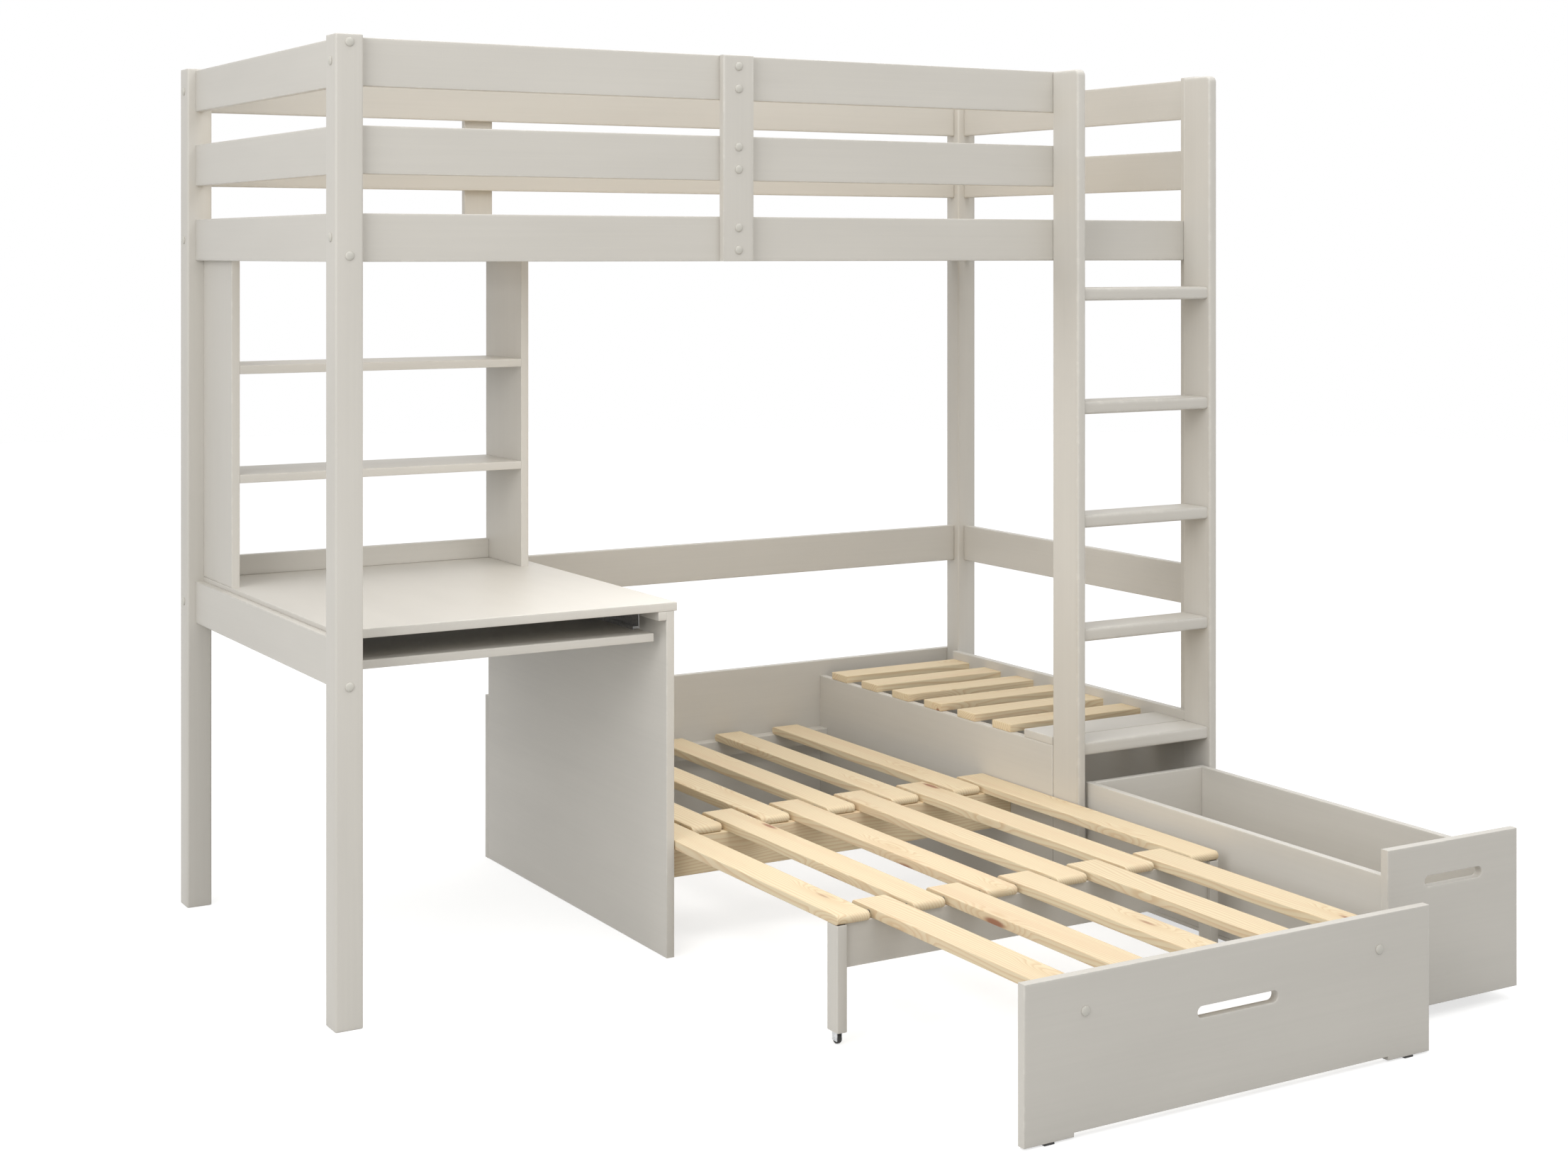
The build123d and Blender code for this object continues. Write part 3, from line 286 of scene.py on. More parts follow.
def moulded(name, base, rough, grain_scale, dust):
    """Moulded plastic = one colour with a fine pebble grain, paler by the dust where clouds lie."""
    f = Finish(name, Specular_IOR_Level=0.45)
    pebble = f.noise(f.place(), grain_scale, 2.0)
    clouds = f.noise(f.place(), 60.0, 4.0, 0.65)
    f.paint("Base Color", f.mix(clouds.ramp(0.35, 0.75), base, tone(base, 1.0, dust)))
    f.paint("Roughness", rough + pebble * 0.12 + clouds * 0.10)
    f.relief(pebble, 0.00008, 0.6)
    return f.material


ZINC = zinc("zinc_plate", colour(176, 178, 182), colour(214, 215, 216))
DULL_ZINC = zinc("zinc_dulled", colour(92, 90, 88), colour(130, 127, 122))
CAP = moulded("cap_plastic", colour(196, 193, 184), 0.30, 1400.0, 0.02)
ROLLER = moulded("roller_plastic", colour(168, 167, 163), 0.46, 1100.0, 0.03)
WHEEL = moulded("wheel_plastic", colour(52, 51, 50), 0.50, 1100.0, 0.035)
print("made", ZINC.name, CAP.name, WHEEL.name)

# %% [markdown]
# ## A board as a surface
#
# A real board is an outline sawn from a sheet, with its edges eased by a router. So one function
# makes them all: an outline of points, with any holes, is carried through the board's thickness,
# drawn in along a quarter circle near both faces. A bevel modifier would ease the edges too, but
# here we also get two attributes for the finish: the board's own grain coordinates, and an edge
# weight that is 1 on the eased edges and 0 on the flat faces.

# %% Outlines
def ring_inset(points, distance):
    """A closed outline moved inwards by a distance, each corner along its mitre."""
    before, after = points - np.roll(points, 1, 0), np.roll(points, -1, 0) - points
    before /= np.linalg.norm(before, axis=1)[:, None]
    after /= np.linalg.norm(after, axis=1)[:, None]
    normal_a = np.stack([-before[:, 1], before[:, 0]], 1)
    normal_b = np.stack([-after[:, 1], after[:, 0]], 1)
    mitre = normal_a + normal_b
    return points + distance * mitre * (2 / (mitre**2).sum(1))[:, None]


def box_outline(width, height, radius=0.0, steps=5, foot=None):
    """A rectangle from (0, 0), anticlockwise, each corner an arc of the radius.
    A foot (length, lift) raises the middle of the lower edge and leaves a foot at each end."""
    turn = np.linspace(0, math.pi / 2, steps)
    right, top = width - radius, height - radius
    arcs = []
    for number, (x, y) in enumerate([(radius, radius), (right, radius), (right, top), (radius, top)]):
        quarter = (number + 2) % 4
        angle = turn + quarter * math.pi / 2
        arc = np.stack([x + radius * np.cos(angle), y + radius * np.sin(angle)], 1)
        arcs.append(arc if radius else arc[:1])
        if foot and number == 0:
            length, lift = foot
            step = [(length, 0), (length, lift), (width - length, lift), (width - length, 0)]
            arcs.append(np.array(step, float))
    return np.concatenate(arcs)


def slot_outline(x, y, length, height, steps=12):
    """A slot with round ends about (x, y): two half circles, clockwise because it is a hole."""
    radius = height / 2
    half = length / 2 - radius
    right = np.linspace(math.pi / 2, -math.pi / 2, steps)
    left = np.linspace(-math.pi / 2, -3 * math.pi / 2, steps)
    ends = [np.stack([x + half + radius * np.cos(right), y + radius * np.sin(right)], 1)]
    ends.append(np.stack([x - half + radius * np.cos(left), y + radius * np.sin(left)], 1))
    return np.concatenate(ends)


print("outline points:", len(box_outline(1, 1, 0.1)), len(slot_outline(0, 0, 2, 1)))


# %% Boards
EDGE_BAND = 5 * MM


def board_shell(loops, thickness, ease, steps=4):
    """Points, faces and edge weights of one board that lies in XY with its thickness along Z.
    Point = outline moved in by ease * (1 - sin t), at height ease * (1 - cos t) from the face,
    with t from 0 to a quarter turn. The edge weight fades out over a band beside each edge."""
    t = np.linspace(0, math.pi / 2, steps)
    fade = min(ease + EDGE_BAND, thickness * 0.45)
    inset = np.concatenate([[ease + EDGE_BAND], ease * (1 - np.sin(t)), [0.0]])
    level = np.concatenate([[0.0], ease * (1 - np.cos(t)), [fade]])
    weight = np.concatenate([[0.0], np.ones(steps), [0.0]])
    inset = np.concatenate([inset, inset[::-1]])
    level = np.concatenate([level, thickness - level[::-1]])
    weight = np.concatenate([weight, weight[::-1]])
    points, faces, weights = [], [], []
    count, ends = 0, ([], [])
    for outline in loops:
        n = len(outline)
        rings = np.stack([ring_inset(outline, d) for d in inset])
        heights = np.repeat(level, n)[:, None]
        points.append(np.concatenate([rings.reshape(-1, 2), heights], 1))
        weights.append(np.repeat(weight, n))
        row, column = np.meshgrid(np.arange(len(inset) - 1), np.arange(n), indexing="ij")
        a, b = row * n + column, row * n + (column + 1) % n
        quads = np.stack([a, b, b + n, a + n], -1).reshape(-1, 4) + count
        faces.extend(quads.tolist())
        ends[0].append((rings[0], count))
        ends[1].append((rings[-1], count + (len(inset) - 1) * n))
        count += n * len(inset)
    for side, parts in enumerate(ends):
        flat = [[(x, y, 0.0) for x, y in ring] for ring, _ in parts]
        numbers = np.concatenate([np.arange(len(ring)) + start for ring, start in parts])
        spots = np.concatenate([ring for ring, _ in parts])
        for tri in tessellate_polygon(flat):
            (ax, ay), (bx, by), (cx, cy) = spots[list(tri)]
            upward = (bx - ax) * (cy - ay) - (by - ay) * (cx - ax) > 0
            ordered = tri if upward == (side == 1) else tri[::-1]
            faces.append([int(numbers[i]) for i in ordered])
    return np.concatenate(points), faces, np.concatenate(weights)


print("a square board has", len(board_shell([box_outline(1, 1)], 0.1, 0.01)[1]), "faces")

# %% [markdown]
# ## Boards in their places
#
# No two boards are cut from the same piece of the tree. So the boards are counted, and each one's
# grain coordinates are shifted by a step times its number, which moves it on through the pattern.

# %% Boards that know their grain
GRAIN_STEP = np.array([1.37, 0.61, 0.43])
GRAIN_CYCLE = 29
board_sizes = []


def grain_of(points, long_axis, thin_axis, number):
    """Coordinates that run along the board, across it and through it, shifted for each board."""
    wide_axis = 3 - long_axis - thin_axis
    centred = points - (points.min(0) + points.max(0)) / 2
    return centred[:, [long_axis, wide_axis, thin_axis]] + GRAIN_STEP * (number % GRAIN_CYCLE + 1)


def board(low, high, thin, ease, outline=None, holes=()):
    """One board that fills the box from low to high; thin is its thickness axis, and ease the
    radius of its edges in mm. The outline is drawn on the other two axes, so a board can stand."""
    low, high = np.array(low, float), np.array(high, float)
    size = high - low
    u, v = [axis for axis in range(3) if axis != thin]
    loop = box_outline(size[u], size[v]) if outline is None else outline
    flat, faces, weights = board_shell([loop, *holes], size[thin], ease * MM)
    points = np.empty((len(flat), 3))
    points[:, u], points[:, v], points[:, thin] = flat[:, 0], flat[:, 1], flat[:, 2]
    if thin == 1:
        faces = [face[::-1] for face in faces]
    points += low
    grain = grain_of(points, int(np.argmax(size)), thin, len(board_sizes))
    board_sizes.append(size)
    return points, faces, weights, grain


def regrained(shell, long_axis, thin_axis, spread=1):
    """The last board made, with its grain along and through other axes than its outline's."""
    points, faces, weights, _ = shell
    return points, faces, weights, grain_of(points, long_axis, thin_axis, len(board_sizes) * spread)


print("grain moves on by", GRAIN_STEP, "m a board")

# %% [markdown]
# ## From arrays to a piece
#
# A piece is one object whose mesh may hold several boards, as a set of slats does. The helper
# joins their arrays, puts them in a mesh with `from_pydata`, stores the attributes with
# `foreach_set`, and says which body carries the piece and which plain solids it stands for.

# %% Joining boards into a piece
CREASE = math.radians(38)


def piece(name, shells, material, body, nodes, creased=True):
    """One object from several (points, faces, weights, grain) arrays, at the origin. It is shaded
    smooth, and when it is creased, an edge that turns by more than CREASE stays sharp."""
    starts = np.cumsum([0] + [len(s[0]) for s in shells])
    faces = [[i + int(k) for i in f] for s, k in zip(shells, starts) for f in s[1]]
    mesh = bpy.data.meshes.new(name)
    mesh.from_pydata(np.concatenate([s[0] for s in shells]).tolist(), [], faces)
    edge = mesh.attributes.new("edge", "FLOAT", "POINT")
    edge.data.foreach_set("value", np.concatenate([s[2] for s in shells]).astype(np.float32))
    grain = mesh.attributes.new("grain", "FLOAT_VECTOR", "POINT")
    grain.data.foreach_set("vector", np.concatenate([s[3] for s in shells]).astype(np.float32).ravel())
    mesh.materials.append(material)
    mesh.update()
    made = bpy.data.objects.new(name, mesh)
    bpy.context.scene.collection.objects.link(made)
    mesh.shade_smooth()
    if creased:
        mesh.set_sharp_from_angle(angle=CREASE)
    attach(made, body)
    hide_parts(*nodes)
    print(f"{name}: {len(shells)} shells, {len(faces)} faces")


def painted(node, boards, body="frame"):
    """The painted boards that stand for one node."""
    piece(f"{node}_wood", boards, PAINT, body, [node])


def bare(node, boards, body="frame"):
    """The pine boards that stand for one node."""
    piece(f"{node}_pine", boards, PINE, body, [node])


# %% Where the frame's solids lie
WELD = 2e-5


def corners(node):
    """A node's lowest and highest corner as arrays."""
    low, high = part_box(node)
    return np.array(low, float), np.array(high, float)


def islands(node):
    """The boxes of a node's separate solids, sorted. Points closer than WELD are one point, and
    each point takes the lowest number among its neighbours, until no number changes."""
    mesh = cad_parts[node].data
    place = np.empty(len(mesh.vertices) * 3)
    mesh.vertices.foreach_get("co", place)
    place = place.reshape(-1, 3)
    _, same = np.unique(np.round(place / WELD).astype(int), axis=0, return_inverse=True)
    pairs = np.empty(len(mesh.edges) * 2, int)
    mesh.edges.foreach_get("vertices", pairs)
    pairs = same.ravel()[pairs.reshape(-1, 2)]
    group = np.arange(same.max() + 1)
    while True:
        lowest = np.minimum(group[pairs[:, 0]], group[pairs[:, 1]])
        new = group.copy()
        np.minimum.at(new, pairs[:, 0], lowest)
        np.minimum.at(new, pairs[:, 1], lowest)
        new = new[new]
        if (new == group).all():
            break
        group = new
    owner = group[same.ravel()]
    boxes = [(place[owner == g].min(0), place[owner == g].max(0)) for g in np.unique(owner)]
    return sorted(boxes, key=lambda pair: tuple(np.round(pair[0], 4)))


print("bench slats found:", len(islands("bench_slats")))

# %% [markdown]
# ## Posts
#
# Each post is a square section with rounded upright edges. Here the outline is the rounded
# square and the thickness is the post's whole height, so the eased edges become the small
# chamfer at the top and the bottom.

# %% The four posts
POST_ROUND, POST_EASE = 4.5 * MM, 2.0


def upright(low, high, radius, ease, steps):
    """A square section with round corners, carried up Z, its grain upright."""
    square = box_outline(high[0] - low[0], high[1] - low[1], radius, steps)
    return regrained(board(low, high, 2, ease, square), 2, 0)


for name in ("post_front_left", "post_back_left", "post_front_right", "post_back_right"):
    painted(name, [upright(*corners(name), POST_ROUND, POST_EASE, 6)])

# %% [markdown]
# ## Rails, battens and ladder
#
# A rail is a plain board with well-rounded long edges. The ladder's uprights have one rounded
# top corner, so their outline is drawn point by point with an arc there.

# %% Rails and battens
RAIL_EASE = 2.2
RAILS = {
    "rail_front_top": 1,
    "rail_front_middle": 1,
    "rail_front_bottom": 1,
    "rails_back": 1,
    "rails_left_end": 0,
    "rails_right_end": 0,
    "batten_front": 1,
    "battens_back": 1,
}
for name, thin in RAILS.items():
    painted(name, [board(low, high, thin, RAIL_EASE) for low, high in islands(name)])

low_boards = []
for low, high in islands("low_rails"):
    thin = 0 if high[0] - low[0] < high[1] - low[1] else 1
    low_boards.append(board(low, high, thin, RAIL_EASE))
painted("low_rails", low_boards)

# %% The ladder
UPRIGHT_TOP, UPRIGHT_EASE, RUNG_EASE = 14 * MM, 4.5, 6.0
turn = np.linspace(math.pi / 2, math.pi, 9)
for name in ("ladder_upright_left", "ladder_upright_right"):
    low, high = corners(name)
    deep, tall = high[1] - low[1], high[2] - low[2]
    arc_y, arc_z = UPRIGHT_TOP * (1 + np.cos(turn)), tall - UPRIGHT_TOP * (1 - np.sin(turn))
    arc = np.stack([arc_y, arc_z], 1)
    outline = np.concatenate([[(0, 0), (deep, 0), (deep, tall)], arc])
    painted(name, [board(low, high, 0, UPRIGHT_EASE, outline)])

painted("ladder_rungs", [board(low, high, 2, RUNG_EASE) for low, high in islands("ladder_rungs")])

# %% [markdown]
# ## Desk, shelves and tray
#
# All of these are plain boards with crisp edges. The desk's side panel is notched round the
# low back rail, which an outline with two more corners gives.

# %% The desk, its shelves and the other plain boards
PLAIN_EASE = 1.3
PLAIN = {
    "desk_top": (2, "frame"),
    "desk_cleats": (2, "frame"),
    "shelf_side_left": (0, "frame"),
    "shelf_side_right": (0, "frame"),
    "shelves": (2, "frame"),
    "desk_back_rail": (1, "frame"),
    "back_board": (1, "frame"),
    "bench_side_panel": (0, "frame"),
    "bench_outer_board": (0, "frame"),
    "bench_cleat": (0, "frame"),
    "bed_base_ledgers": (1, "frame"),
    "guest_back_ledger": (1, "frame"),
    "guest_moving_apron": (1, "guest_frame"),
    "keyboard_tray": (2, "tray"),
    "drawer_sides": (0, "drawer"),
    "drawer_back": (1, "drawer"),
    "drawer_base": (2, "drawer"),
}
for name, (thin, body) in PLAIN.items():
    painted(name, [board(low, high, thin, PLAIN_EASE) for low, high in islands(name)], body)

# %% The notched side of the desk
low, high = corners("desk_side_panel")
deep, tall = high[1] - low[1], high[2] - low[2]
rails_along_x = [a for a, b in islands("low_rails") if b[0] - a[0] > b[1] - a[1]]
notch_y, notch_z = rails_along_x[0][1] - low[1], corners("low_rails")[0][2] - low[2]
outline = [(0, 0), (deep, 0), (deep, notch_z), (notch_y, notch_z), (notch_y, tall), (0, tall)]
painted("desk_side_panel", [board(low, high, 0, PLAIN_EASE, np.array(outline))])

# %% [markdown]
# ## The step board
#
# The lowest tread is thick between the uprights. Behind them it carries on towards the bench's
# slats, where its upper layer reaches over the top edge of the bench's side panel. No single
# outline gives that, so it is three boards that meet.

# %% The step
TREAD_EASE = 5.0
low, high = corners("step_board")
panel_low, panel_high = corners("bench_side_panel")
left, right = corners("ladder_upright_left")[1][0], corners("ladder_upright_right")[0][0]
front, ledge = panel_low[1], panel_high[2]
tread = board((left, low[1], low[2]), (right, front, high[2]), 2, TREAD_EASE)
lap = board((low[0], front, ledge), high, 2, PLAIN_EASE)
under = board((left, front, low[2]), (right, high[1], ledge), 2, PLAIN_EASE)
painted("step_board", [tread, lap, under])

# %% [markdown]
# ## Slats
#
# The bench and both halves of the guest bed are combs of pine slats. On the guest bed their ends
# are rounded over the whole thickness, so each slat is drawn from the side: an outline with half
# circles at its free ends, carried across the slat's width.

# %% Pine slats
PINE_EASE = 1.6
SLAT_SPREAD = 7


def slat(low, high, front_round):
    """A slat seen from its side: straight above and below, and a half circle of the slat's
    thickness at its back end, and at its front end where front_round says so."""
    size = high - low
    radius = size[2] / 2
    turn = np.linspace(-math.pi / 2, math.pi / 2, 9)
    back = np.stack([size[1] - radius + radius * np.cos(turn), radius + radius * np.sin(turn)], 1)
    front = np.stack([radius - radius * np.cos(turn), radius - radius * np.sin(turn)], 1)
    if not front_round:
        front = np.array([(0, size[2]), (0, 0)])
    return regrained(board(low, high, 0, PINE_EASE, np.concatenate([back, front])), 1, 2, SLAT_SPREAD)


COMBS = {
    "guest_fixed_slats": ("frame", True),
    "guest_rear_slats": ("guest_frame", True),
    "guest_front_slats": ("guest_frame", False),
}
for name, (body, front_round) in COMBS.items():
    bare(name, [slat(low, high, front_round) for low, high in islands(name)], body)

PINE_BOARDS = {
    "bench_slats": (2, "frame"),
    "bed_base_slats": (2, "frame"),
    "guest_fixed_apron": (1, "frame"),
    "guest_rear_batten": (2, "guest_frame"),
    "guest_panel_ledger": (1, "guest_frame"),
}
for name, (thin, body) in PINE_BOARDS.items():
    bare(name, [board(low, high, thin, PINE_EASE) for low, high in islands(name)], body)

# %% [markdown]
# ## Fronts with a hand slot
#
# The drawer's front and the guest bed's front panel are boards with a slot routed through them
# for the hand. The slot is a second loop in the outline, so its edge is eased like the rest.
# The panel has a low foot at each end. The legs behind it are posts on a smaller scale.

# %% The two fronts and the legs
FRONT_EASE = 1.5
FOOT_LENGTH, FOOT_LIFT = 100 * MM, 7 * MM
SLOT_HEIGHT = 20 * MM


def slotted_front(node, body, length, level, foot=None):
    """A front with a hand slot of that length, its middle at that level above the floor."""
    low, high = corners(node)
    wide, tall = high[0] - low[0], high[2] - low[2]
    hole = slot_outline(wide / 2, level - low[2], length, SLOT_HEIGHT)
    painted(node, [board(low, high, 1, FRONT_EASE, box_outline(wide, tall, foot=foot), [hole])], body)


slotted_front("guest_front_panel", "guest_frame", 178 * MM, 160 * MM, (FOOT_LENGTH, FOOT_LIFT))
slotted_front("drawer_front", "drawer", 150 * MM, 257 * MM)

LEG_ROUND, LEG_EASE = 2 * MM, 1.5
legs = [upright(low, high, LEG_ROUND, LEG_EASE, 4) for low, high in islands("guest_legs")]
painted("guest_legs", legs, "guest_frame")
print("boards made:", len(board_sizes), "longest:", round(np.max(board_sizes) / MM), "mm")

# %% [markdown]
# ## Caps, pins and wheels
#
# Everything round is a profile turned about an axis, as on a lathe: a cap is a low dome with a
# soft rim, a pin is a plain rod with eased ends, a wheel has a crowned tread and dished sides.

# %% Turned parts
def turned(profile, centre, axis, steps=28):
    """Point = centre + height along the axis + radius * (cos a, sin a) across it, for each
    (radius, height) of the profile. A point on the axis closes each end."""
    axis = np.array(axis, float)
    across = np.cross(axis, (0, 0, 1)) if abs(axis[2]) < 0.9 else np.array([1.0, 0, 0])
    across /= np.linalg.norm(across)
    other = np.cross(axis, across)
    profile = np.array(profile, float)
    angle = np.linspace(0, 2 * math.pi, steps, endpoint=False)
    ring = np.cos(angle)[:, None] * across + np.sin(angle)[:, None] * other
    rings = profile[:, 0][:, None, None] * ring + profile[:, 1][:, None, None] * axis
    points = rings.reshape(-1, 3)
    row, column = np.meshgrid(np.arange(len(profile) - 1), np.arange(steps), indexing="ij")
    a, b = row * steps + column, row * steps + (column + 1) % steps
    faces = np.stack([a, b, b + steps, a + steps], -1).reshape(-1, 4).tolist()
    ends = np.array([profile[0, 1] * axis, profile[-1, 1] * axis])
    first, last = len(points), len(points) + 1
    points = np.concatenate([points, ends])
    top = (len(profile) - 1) * steps
    faces += [[first, (i + 1) % steps, i] for i in range(steps)]
    faces += [[last, top + i, top + (i + 1) % steps] for i in range(steps)]
    grain = points + GRAIN_STEP
    return points + np.array(centre), faces, np.zeros(len(points)), grain


RIM_EASE, RIM_TOP = 0.3 * MM, 0.9 * MM


def dome(radius, height, steps=7):
    """A cap's profile: a short upright rim, then a quarter of an ellipse up to the middle."""
    t = np.linspace(0, math.pi / 2, steps)
    rim = [(radius * 0.97, 0.0), (radius, RIM_EASE)]
    arc_radius, arc_height = radius * (0.02 + 0.98 * np.cos(t)), (height - RIM_TOP) * np.sin(t)
    return np.concatenate([rim, np.stack([arc_radius, RIM_TOP + arc_height], 1)])


CAPS_DIVIDE = np.array([0.0, 60 * MM])


def caps_of(node):
    """One dome for each small solid of a cap node, along the axis on which its box is thin. On
    either side of CAPS_DIVIDE the domes face away from it, to the left or right, front or back."""
    shells = []
    for low, high in islands(node):
        thin = int(np.argmin(high - low))
        radius = (high - low).max() / 2
        middle = (low + high) / 2
        outward = 1.0 if middle[thin] > CAPS_DIVIDE[thin] else -1.0
        axis = np.zeros(3)
        axis[thin] = outward
        base = middle.copy()
        base[thin] = low[thin] if outward > 0 else high[thin]
        shells.append(turned(dome(radius, high[thin] - low[thin]), base, axis))
    return shells


for node, body in (("frame_caps", "frame"), ("guest_panel_caps", "guest_frame")):
    piece(f"{node}_domes", caps_of(node), CAP, body, [node], creased=False)

# %% Pins and wheels
ROD_EASE = 0.4 * MM


def rod(low, high):
    """A rod along X that fills the box, its ends eased."""
    length = high[0] - low[0]
    radius = (high[2] - low[2]) / 2
    inner, far = radius - ROD_EASE, length - ROD_EASE
    profile = [(inner, 0), (radius, ROD_EASE), (radius, far), (inner, length)]
    middle = (low + high) / 2
    return turned(profile, (low[0], middle[1], middle[2]), (1, 0, 0), 20)


pins = [rod(low, high) for low, high in islands("guest_slat_pins")]
piece("guest_slat_pins_rods", pins, DULL_ZINC, "guest_frame", ["guest_slat_pins"])


def wheel_profile(radius, width, hub):
    """A wheel's section from hub to hub: dished sides, a rim, and a crowned tread.
    Tread = radius * (1 - 0.035 * t ** 4), with t from -1 to 1 across the wheel."""
    t = np.linspace(-1, 1, 9)
    crown = np.stack([radius * (1 - 0.035 * t**4), width / 2 + t * width * 0.40], 1)
    dish = [(hub, width * 0.10), (radius * 0.62, width * 0.12)]
    left = [*dish, (radius * 0.70, 0.0), (radius * 0.93, 0.0)]
    right = [(r, width - h) for r, h in left[::-1]]
    return np.concatenate([left, crown, right])


HUB, AXLE = 0.2, 0.165


def wheels(node, body, width, spots, material):
    """A wheel at each spot along X on one axle, which runs the length of the node's box.
    HUB and AXLE are the hub's and the axle's radius as shares of the wheel's."""
    low, high = corners(node)
    radius, middle = (high[2] - low[2]) / 2, (low + high) / 2
    profile = wheel_profile(radius, width, radius * HUB)
    starts = [(x - width / 2, middle[1], middle[2]) for x in spots]
    shells = [turned(profile, start, (1, 0, 0), 40) for start in starts]
    piece(f"{node}_turned", shells, material, body, [node])
    axle = radius * AXLE
    start = np.array([low[0], middle[1] - axle, middle[2] - axle])
    end = np.array([high[0], middle[1] + axle, middle[2] + axle])
    piece(f"{node}_axle", [rod(start, end)], ZINC, body, [node])


CASTER_WIDTH, ROLLER_WIDTH, ROLLER_FROM_END = 8 * MM, 14 * MM, 11 * MM
for side in ("left", "right"):
    low, high = corners(f"guest_caster_{side}")
    middle_x = (low[0] + high[0]) / 2
    wheels(f"guest_caster_{side}", f"caster_{side}", CASTER_WIDTH, [middle_x], WHEEL)
for node in ("drawer_wheels_front", "drawer_wheels_back"):
    low, high = corners(node)
    spots = [low[0] + ROLLER_FROM_END, high[0] - ROLLER_FROM_END]
    wheels(node, node, ROLLER_WIDTH, spots, ROLLER)

# %% [markdown]
# ## Hardware that keeps its solid
#
# The bolts, the bent sheet runners, the forks and the glides already have their right shape.
# They stay as they are and only take a finish, in their material slots.

# %% Finishes for the solids that stay
KEPT = {
    "tray_channels": ZINC,
    "tray_bars": ZINC,
    "guest_caster_forks": ZINC,
    "guest_panel_bolts": ZINC,
    "drawer_brackets": ZINC,
    "frame_bolts": ZINC,
    "guest_glides": WHEEL,
}
for name, material in KEPT.items():
    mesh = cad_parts[name].data
    mesh.materials.clear()
    mesh.materials.append(material)
print("finished solids:", ", ".join(KEPT))

# %% [markdown]
# ## Room, light and camera
#
# The picture has no room at all, only white. A round floor carries the soft shadows. It is a mid
# grey, so that little light bounces up at the low boards, but towards the camera both it and the
# air glow white. The object is lit by three big soft lamps, and by a small one that hangs under
# the bunk and faces down, because the bay there would be too dark. The camera stands in front
# and to the left, level, with the lens shifted, as an architect's camera is, so that upright
# edges stay parallel.

# %% The round floor
FLOOR_RADIUS = 14.0


def round_floor(radius, rings=24, steps=72):
    """Point = r * (cos a, sin a) at floor level, with rings closer together near the middle."""
    r = radius * np.linspace(0.02, 1, rings) ** 2
    a = np.linspace(0, 2 * math.pi, steps, endpoint=False)
    x, y = np.outer(r, np.cos(a)), np.outer(r, np.sin(a))
    points = np.stack([x, y, np.zeros_like(x)], -1).reshape(-1, 3)
    row, column = np.meshgrid(np.arange(rings - 1), np.arange(steps), indexing="ij")
    first, second = row * steps + column, row * steps + (column + 1) % steps
    quads = np.stack([first, first + steps, second + steps, second], -1).reshape(-1, 4).tolist()
    middle = list(range(steps))
    mesh = bpy.data.meshes.new("studio_floor")
    mesh.from_pydata(points.tolist(), [], [*quads, middle])
    made = bpy.data.objects.new("studio_floor", mesh)
    bpy.context.scene.collection.objects.link(made)
    made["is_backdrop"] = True
    return made


def looked_at(nodes):
    """1 for rays that carry the picture: from the camera, off gloss, or through glass."""
    camera, glossy, through = [
        nodes.node("ShaderNodeLightPath", out=f"Is {kind} Ray")
        for kind in ("Camera", "Glossy", "Transmission")
    ]
    return camera.most(glossy).most(through)


PAPER_GLOW = 0.67
floor = round_floor(FLOOR_RADIUS)
paper = Finish("studio_paper", Roughness=0.9, Specular_IOR_Level=0.1, Emission_Strength=PAPER_GLOW)
clouds = paper.noise(paper.place(), 0.8, 2.0)
paper.paint("Base Color", paper.mix(clouds, colour(186, 186, 185), colour(192, 192, 191)))
paper.paint("Emission Color", paper.mix(looked_at(paper), (0, 0, 0, 1), (1, 1, 1, 1)))
floor.data.materials.append(paper.material)
print("floor:", len(floor.data.polygons), "faces")

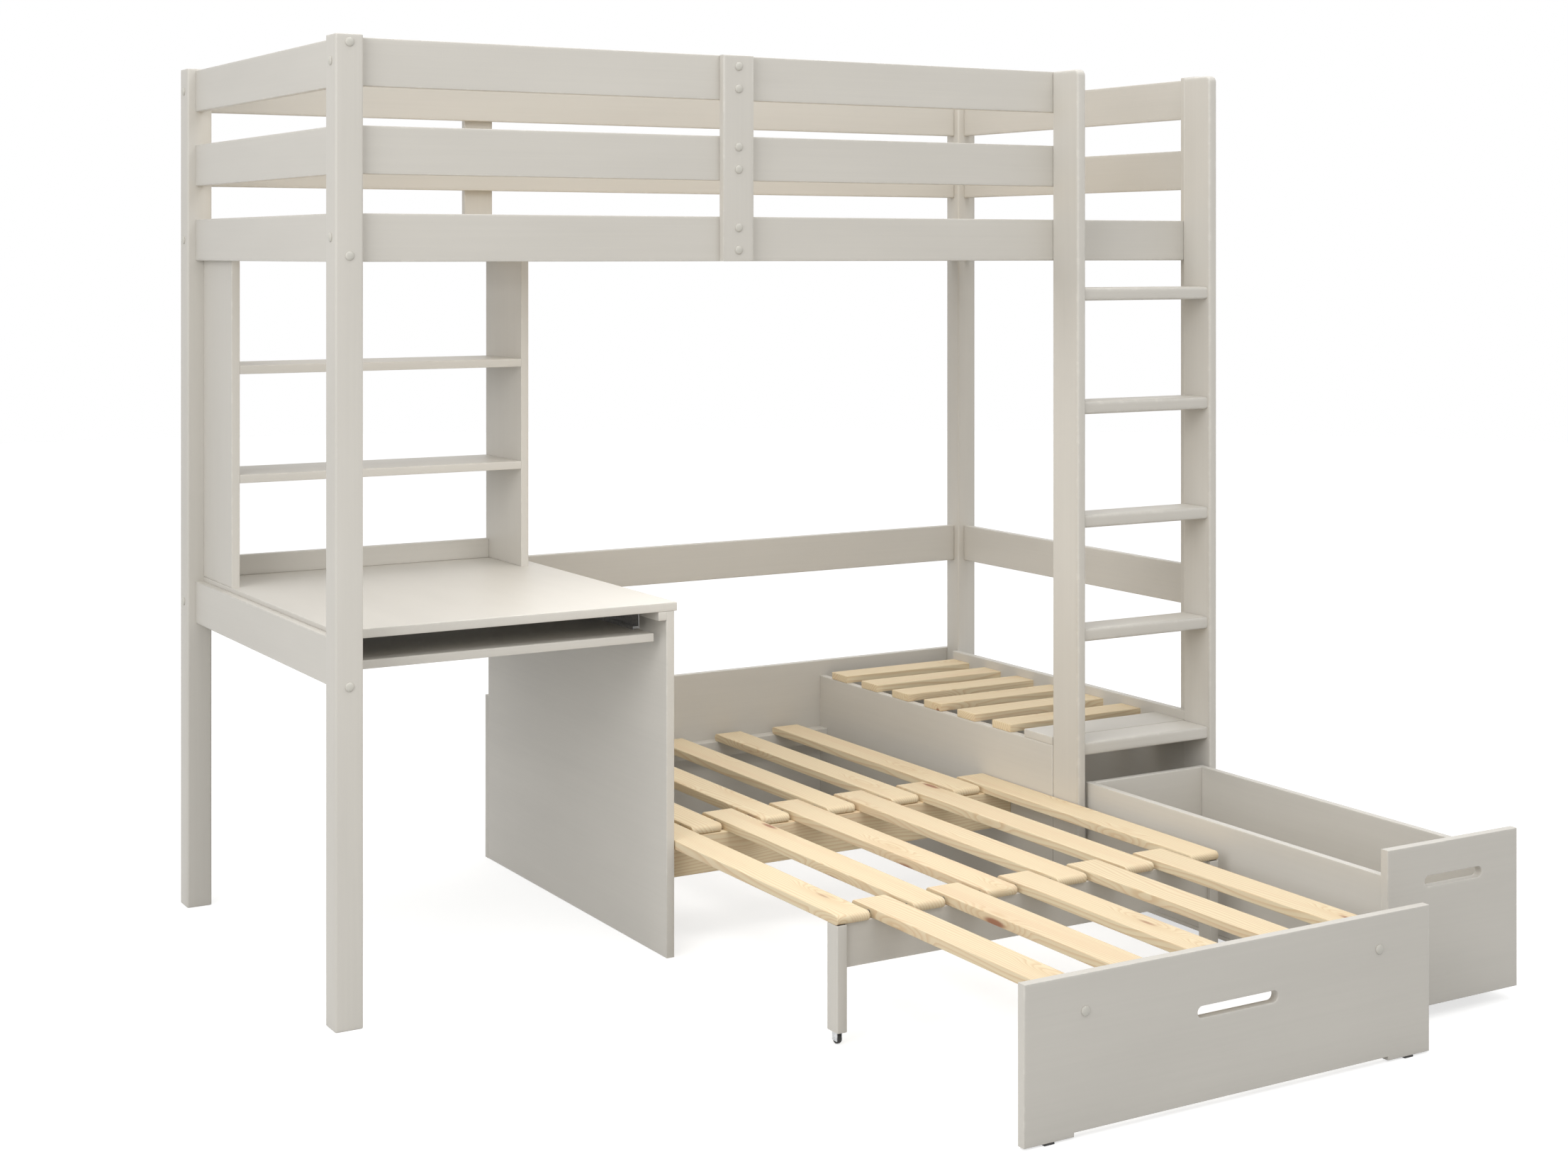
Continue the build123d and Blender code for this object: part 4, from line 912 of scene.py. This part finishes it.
# %% Lamps and world
def softbox(name, place, aim, size, power):
    """A rectangle of light at a place, turned so that it faces the aim: yaw first, then pitch."""
    lamp = bpy.data.lights.new(name, "AREA")
    lamp.shape, lamp.size, lamp.size_y = "RECTANGLE", size[0], size[1]
    lamp.energy = power
    made = bpy.data.objects.new(name, lamp)
    made.location = place
    direction = np.array(aim, float) - np.array(place, float)
    yaw = math.atan2(direction[1], direction[0]) - math.pi / 2
    pitch = math.atan2(direction[2], math.hypot(direction[0], direction[1])) + math.pi / 2
    made.rotation_euler = (pitch, 0.0, yaw)
    bpy.context.scene.collection.objects.link(made)


softbox("key_left", (-4.6, -2.2, 2.6), (0.0, 0.0, 0.8), (3.4, 3.0), 97)
softbox("fill_front", (0.4, -4.2, 5.2), (0.0, 0.6, 2.2), (4.0, 1.6), 50)
softbox("bay_down", (-0.25, 0.0, 1.38), (-0.25, 0.0, 0.0), (0.8, 0.6), 4.5)
softbox("top_soft", (0.2, 0.2, 4.8), (0.0, 0.0, 0.0), (5.0, 4.0), 108)

SKY_LIGHT = 0.68
world = bpy.data.worlds.new("studio_air")
bpy.context.scene.world = world
world.use_nodes = True
air = Nodes(world.node_tree)
strength = {"Value": looked_at(air), "To Min": SKY_LIGHT, "To Max": 1.0}
glow = air.node("ShaderNodeMapRange", {}, strength)
white = {"Color": (1.0, 1.0, 1.0, 1.0), "Strength": glow}
air.fill(world.node_tree.nodes["Background"], white)
print("lamps:", ", ".join(lamp.name for lamp in bpy.data.lights))
bpy.context.scene.view_settings.view_transform = "Standard"

# %% The camera
CAMERA_PLACE = (-2.4963, -4.0200, 1.4255)
CAMERA_TURN = math.radians(-30.6)
LENS, SHIFT = 53.14, -0.213
camera = bpy.data.cameras.new("studio_camera")
camera.lens, camera.sensor_width = LENS, 36.0
camera.shift_y = SHIFT
camera.clip_end = 100.0
eye = bpy.data.objects.new("studio_camera", camera)
eye.location = CAMERA_PLACE
eye.rotation_euler = (math.pi / 2, 0.0, CAMERA_TURN)
bpy.context.scene.collection.objects.link(eye)
bpy.context.scene.camera = eye
print("camera at", CAMERA_PLACE)

# %% [markdown]
# ## Measure
#
# The size of the dressed object is printed, in millimetres. The dressed object must not
# outgrow the frame.

# %% Sizes, then finish
low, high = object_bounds()
print("dressed size in mm:", [round((b - a) / MM) for a, b in zip(low, high)])
